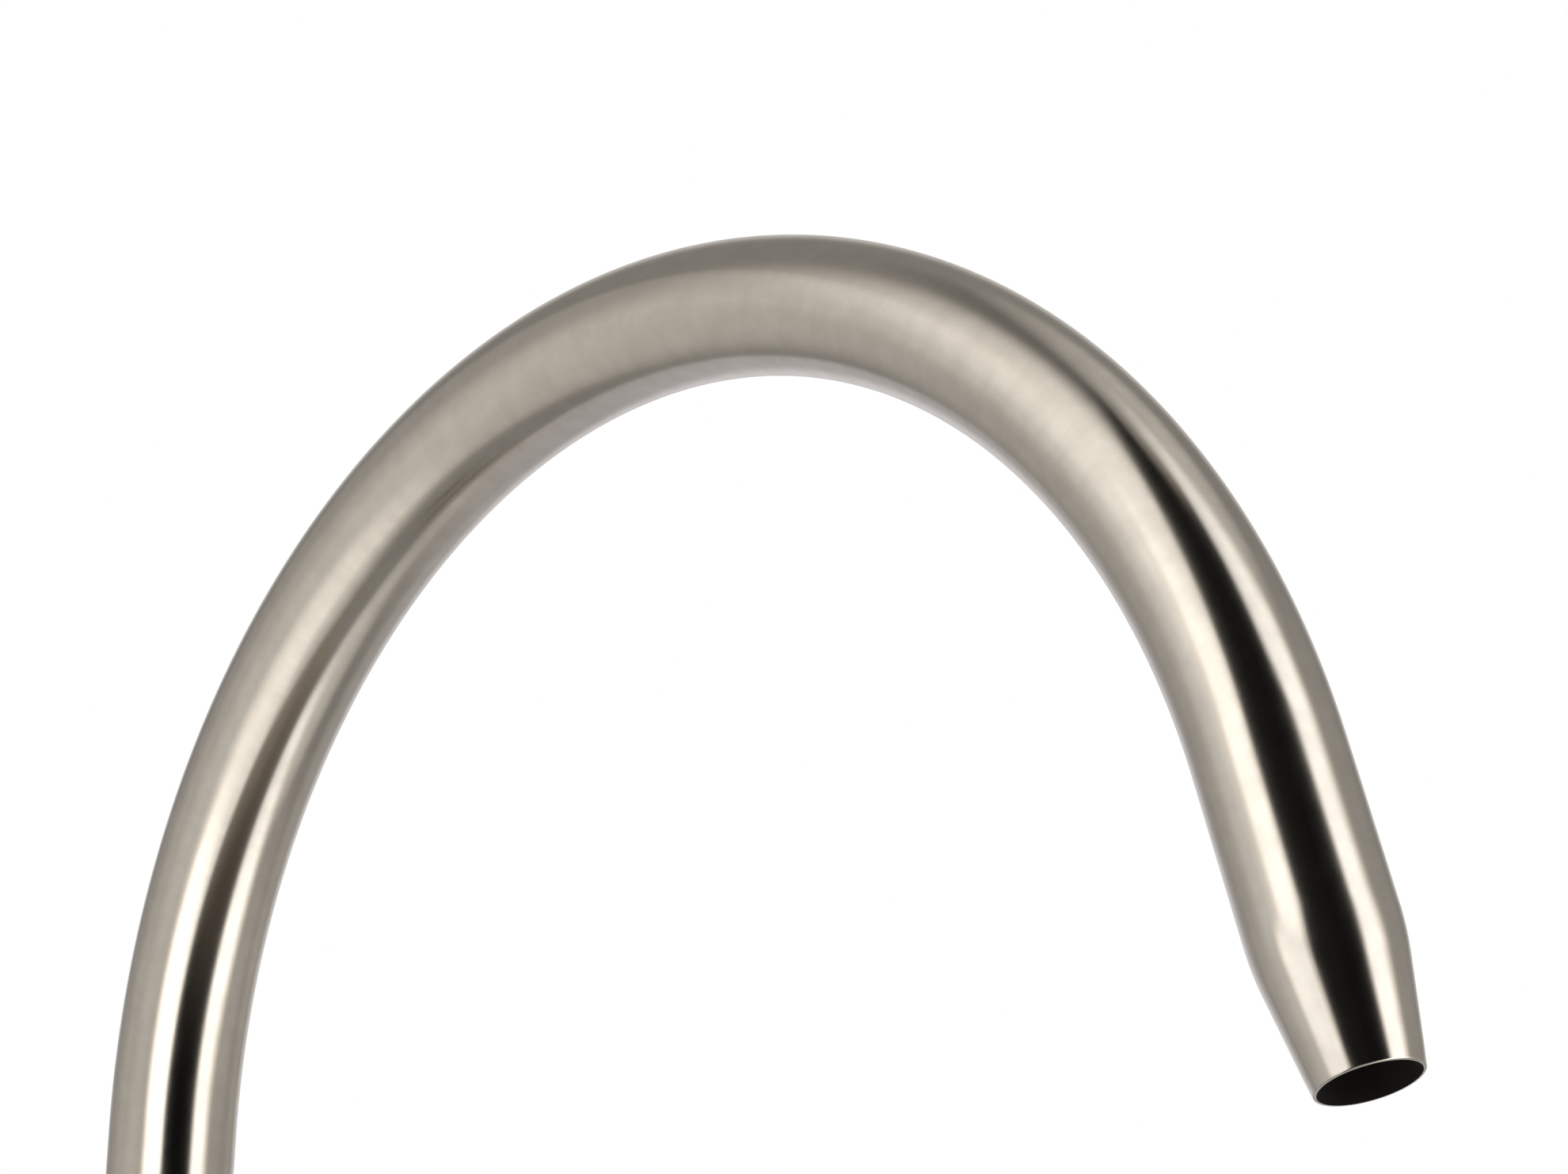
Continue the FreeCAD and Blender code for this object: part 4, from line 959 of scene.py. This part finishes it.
def shank_surface(height, share_of_turn):
    """The outside radius at a height and a share of a turn, with a chamfer at the shank's lower end."""
    rise = thread_height(height / THREAD_PITCH - share_of_turn)
    radius = shank_radius - THREAD_DEPTH * (1.0 - rise)
    return min(radius, shank_radius - SHANK_CHAMFER + height - shank_low.z)


print("thread turns:", round((THREAD_TOP - shank_low.z) / THREAD_PITCH, 1))

# %% [markdown]
# The rings go up the threaded outside, over the top and down the bore. The top could be threaded too,
# but the flange and the valve body hide it, so it is plain. Ten rings to each turn of the thread are
# enough to draw its crests and roots.

# %% Threaded shank
THREAD_SIDES = 64
RINGS_PER_PITCH = 10
THREAD_SHARP_FROM = math.radians(60.0)


def make_shank():
    """A threaded pipe as one closed mesh."""
    shares = [side / THREAD_SIDES for side in range(THREAD_SIDES)]
    ring_count = round((THREAD_TOP - shank_low.z) / THREAD_PITCH * RINGS_PER_PITCH)
    heights = [*even_steps(shank_low.z, THREAD_TOP, ring_count), THREAD_TOP]
    rings = [(height, [shank_surface(height, share) for share in shares]) for height in heights]
    for radius, height in (
        (shank_radius, THREAD_TOP + THREAD_DEPTH),
        (shank_radius, shank_high.z),
        (SHANK_BORE, shank_high.z),
        (SHANK_BORE, shank_low.z),
    ):
        rings.append((height, [radius] * THREAD_SIDES))
    points = []
    for height, radii in rings:
        for share, radius in zip(shares, radii):
            turn = 2.0 * math.pi * share
            points.append((radius * math.cos(turn), radius * math.sin(turn), height))
    mesh = bpy.data.meshes.new("shank_thread")
    mesh.from_pydata(points, [], ring_faces(len(rings), THREAD_SIDES))
    mesh.shade_smooth()
    mesh.set_sharp_from_angle(angle=THREAD_SHARP_FROM)
    return add_object("shank_thread", mesh)


shank = make_shank()
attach(shank, "tap_body")
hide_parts("threaded_shank")
print("shank faces:", len(shank.data.polygons))

# %% [markdown]
# The turned pieces below the tube (collar, valve body, base flange, lever hub and lever) have the same
# nickel. They keep the frame's own shapes and only get the finish, with a rubbed edge. The lines run
# round each piece's own axis, so the upright pieces, the lever and the hub each have their own position.

# %% Nickel on the turned pieces
QUARTER_TURN = 0.25
NICKEL_EDGE = (0.88, 0.84, 0.77, 1.0)
NICKEL_EDGE_WIDTH = 0.0003


def rub_edges(tree, shader, rubbed_colour, width):
    """Brightens the base colour along the corners of a piece."""
    edge = place_group(tree, edge_rub, {"Width": width})["Edge"]
    before = shader.inputs["Base Color"].links[0].from_socket
    fill(tree, shader, {"Base Color": tint(tree, edge, before, rubbed_colour)})


def dress(node_names, material):
    """Gives pieces of the frame one material in place of the one that they came with."""
    for node_name in node_names:
        mesh = frame["nodes"][node_name].data
        mesh.materials.clear()
        mesh.materials.append(material)


hub_low, hub_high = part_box("handle_hub")
valve_axis = (hub_low + hub_high) / 2.0
rod_low, rod_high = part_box("lever_rod")
rod_axis = (rod_low + rod_high) / 2.0
upright = turned_position(Vector(ORIGIN), "Z")
sideways = turned_position(valve_axis, "Y")
for label, position, pieces in (
    ("satin_nickel_upright", upright, ["collar_nut", "valve_body", "base_flange"]),
    ("satin_nickel_hub", sideways, ["handle_hub"]),
    ("satin_nickel_lever", turned_position(rod_axis, "Z"), ["lever_rod"]),
):
    finish, tree, shader = satin_nickel(
        label, position, turn=QUARTER_TURN, streak_share=0.5, cloud_size=0.011
    )
    rub_edges(tree, shader, NICKEL_EDGE, NICKEL_EDGE_WIDTH)
    dress(pieces, finish)
    print("finish:", label, "on", pieces)

# %% [markdown]
# The hidden and lower metal pieces have plain working finishes: machined brass and bright zinc plate.
# Both show the lines of the tool that cut them, so one function makes them, with coarser lines than the
# nickel has, and each brings its own colours.

# %% Metal finishes
# light, dark and rubbed colour
BRASS = ((0.80, 0.60, 0.28, 1.0), (0.66, 0.47, 0.20, 1.0), (0.93, 0.76, 0.43, 1.0))
ZINC = ((0.74, 0.75, 0.76, 1.0), (0.58, 0.60, 0.62, 1.0), (0.90, 0.91, 0.92, 1.0))
BRASS_ROUGHNESS = 0.26
ZINC_ROUGHNESS = 0.30
TOOL_LINES = {"Line Width": 0.00018, "Line Length": 0.006}
TOOL_LINE_DEPTH = 0.00003
TOOL_LINE_STRENGTH = 0.16
TOOL_CLOUD_SIZE = 0.005
TOOL_EDGE_WIDTH = 0.00025
# the span round the middle of two noises added together
SUM_SPAN = (0.75, 1.25)
# how much rougher the dark places are, and how much smoother the light ones
DULLER = 0.06
BRIGHTER = 0.04


def machined_metal(name, colours, roughness, position):
    """Cut metal with coarse tool lines and rubbed edges."""
    light, dark, rubbed = colours
    material, tree, shader = blank_material(name)
    place = position(tree)
    lines = place_group(tree, brushed_lines, {"Position": place, **TOOL_LINES})
    clouds = place_group(tree, mottle, {"Position": place, "Cloud Size": TOOL_CLOUD_SIZE})
    share = spread(tree, maths(tree, "ADD", lines["Streaks"], clouds["Clouds"]), *SUM_SPAN)
    fill(tree, shader, {
        "Base Color": tint(tree, share, dark, light),
        "Roughness": spread(tree, share, 0.0, 1.0, roughness + DULLER, roughness - BRIGHTER),
        "Normal": bump(tree, lines["Lines"], TOOL_LINE_STRENGTH, TOOL_LINE_DEPTH),
        "Metallic": 1.0,
    })
    rub_edges(tree, shader, rubbed, TOOL_EDGE_WIDTH)
    return material


brass_upright = machined_metal("machined_brass", BRASS, BRASS_ROUGHNESS, upright)
brass_sideways = machined_metal("machined_brass_valve", BRASS, BRASS_ROUGHNESS, sideways)
zinc = machined_metal("bright_zinc_plate", ZINC, ZINC_ROUGHNESS, upright)
print("finishes:", brass_upright.name, brass_sideways.name, zinc.name)

# %% [markdown]
# The rest is moulded or ground: black rubber seals, ceramic discs lapped to a soft shine, and white and
# grey acetal, a hard plastic that lets a little light in when it is white. All have a nearly even colour
# and a fine pebbled skin, so they share a function and differ in colour, roughness and the size and
# depth of the pebbles.

# %% Moulded and ground finishes
SKIN_CLOUD_SIZE = 0.004
SKIN_PEBBLE_STRENGTH = 0.4
SKIN_UNEVENNESS = 0.06
RUBBER_GLOSS = 0.35
ACETAL_GLOW = 0.15
ACETAL_GLOW_REACH = (0.0012, 0.0010, 0.0008)


def moulded(name, light, dark, roughness, pebble_size, pebble_depth, constants=None):
    """A moulded skin, uneven in colour and pebbled, with more constants of the shader if it has any."""
    material, tree, shader = blank_material(name)
    sizes = {"Cloud Size": SKIN_CLOUD_SIZE, "Pebble Size": pebble_size}
    skin = place_group(tree, mottle, {"Position": free_position(tree), **sizes})
    share = spread(tree, skin["Clouds"], *MIDDLE_SPAN)
    rough_span = (roughness + SKIN_UNEVENNESS, roughness - SKIN_UNEVENNESS)
    fill(tree, shader, {
        "Base Color": tint(tree, share, dark, light),
        "Roughness": spread(tree, skin["Clouds"], *WIDE_SPAN, *rough_span),
        "Normal": bump(tree, skin["Pebbles"], SKIN_PEBBLE_STRENGTH, pebble_depth),
    })
    fill(tree, shader, constants or {})
    return material


rubber = moulded(
    "moulded_rubber",
    light=(0.030, 0.030, 0.031, 1.0),
    dark=(0.018, 0.018, 0.019, 1.0),
    roughness=0.72,
    pebble_size=0.00022,
    pebble_depth=0.00004,
    constants={"Specular IOR Level": RUBBER_GLOSS},
)
ceramic = moulded(
    "lapped_ceramic",
    light=(0.87, 0.85, 0.80, 1.0),
    dark=(0.80, 0.78, 0.73, 1.0),
    roughness=0.16,
    pebble_size=0.00008,
    pebble_depth=0.000004,
)
white_acetal = moulded(
    "white_acetal",
    light=(0.86, 0.86, 0.84, 1.0),
    dark=(0.835, 0.835, 0.815, 1.0),
    roughness=0.38,
    pebble_size=0.00018,
    pebble_depth=0.000012,
    constants={"Subsurface Weight": ACETAL_GLOW, "Subsurface Radius": ACETAL_GLOW_REACH},
)
grey_acetal = moulded(
    "grey_acetal",
    light=(0.115, 0.117, 0.122, 1.0),
    dark=(0.085, 0.087, 0.092, 1.0),
    roughness=0.48,
    pebble_size=0.00018,
    pebble_depth=0.000014,
)
print("finishes:", rubber.name, ceramic.name, white_acetal.name, grey_acetal.name)

# %% [markdown]
# The finishes could be set piece by piece, but the record names a material slot for every piece, and one
# loop over the pieces misses none. Two brass pieces lie along the valve's axis and get the brass whose
# lines run round that axis.

# %% Finishes on the remaining pieces
VALVE_BRASS = ["cartridge_housing", "valve_stem"]
SLOT_FINISHES = {
    "brass": brass_upright,
    "plated_steel": zinc,
    "black_rubber": rubber,
    "ceramic": ceramic,
    "white_plastic": white_acetal,
    "grey_plastic": grey_acetal,
}
dressed = 0
for subpart in frame["record"]["subparts"]:
    if subpart["material_slot"] in SLOT_FINISHES:
        dress([subpart["node"]], SLOT_FINISHES[subpart["material_slot"]])
        dressed += 1
dress(VALVE_BRASS, brass_sideways)
dress(["spout_tube"], nickel_tube)
shank.data.materials.append(zinc)
print("pieces dressed by their slot:", dressed)

# %% [markdown]
# Nothing that comes out of a mould, a tumbler or a press has knife edges. The clamp's pieces and the
# tube coupling could be modelled again with rounded corners, but a Bevel modifier rounds them and leaves
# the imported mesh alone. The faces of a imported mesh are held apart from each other, so a Weld modifier
# joins them first.

# %% Softened edges
# node and radius of its edges, in metres
SOFT_EDGES = {
    "adapter_body": 0.0005,
    "release_collet": 0.00025,
    "clamp_rubber_washer": 0.0005,
    "clamp_plate": 0.0003,
    "mounting_nut": 0.0003,
}
WELD_REACH = 0.000002
EDGE_STEPS = 3
EDGE_SHARP_FROM = math.radians(35.0)
for node_name, edge_radius in SOFT_EDGES.items():
    modifiers = frame["nodes"][node_name].modifiers
    joined = modifiers.new("joined_faces", "WELD")
    joined.merge_threshold = WELD_REACH
    softened = modifiers.new("softened_edges", "BEVEL")
    softened.width = edge_radius
    softened.segments = EDGE_STEPS
    softened.limit_method = "ANGLE"
    softened.angle_limit = EDGE_SHARP_FROM
    softened.harden_normals = True
print("softened:", list(SOFT_EDGES))
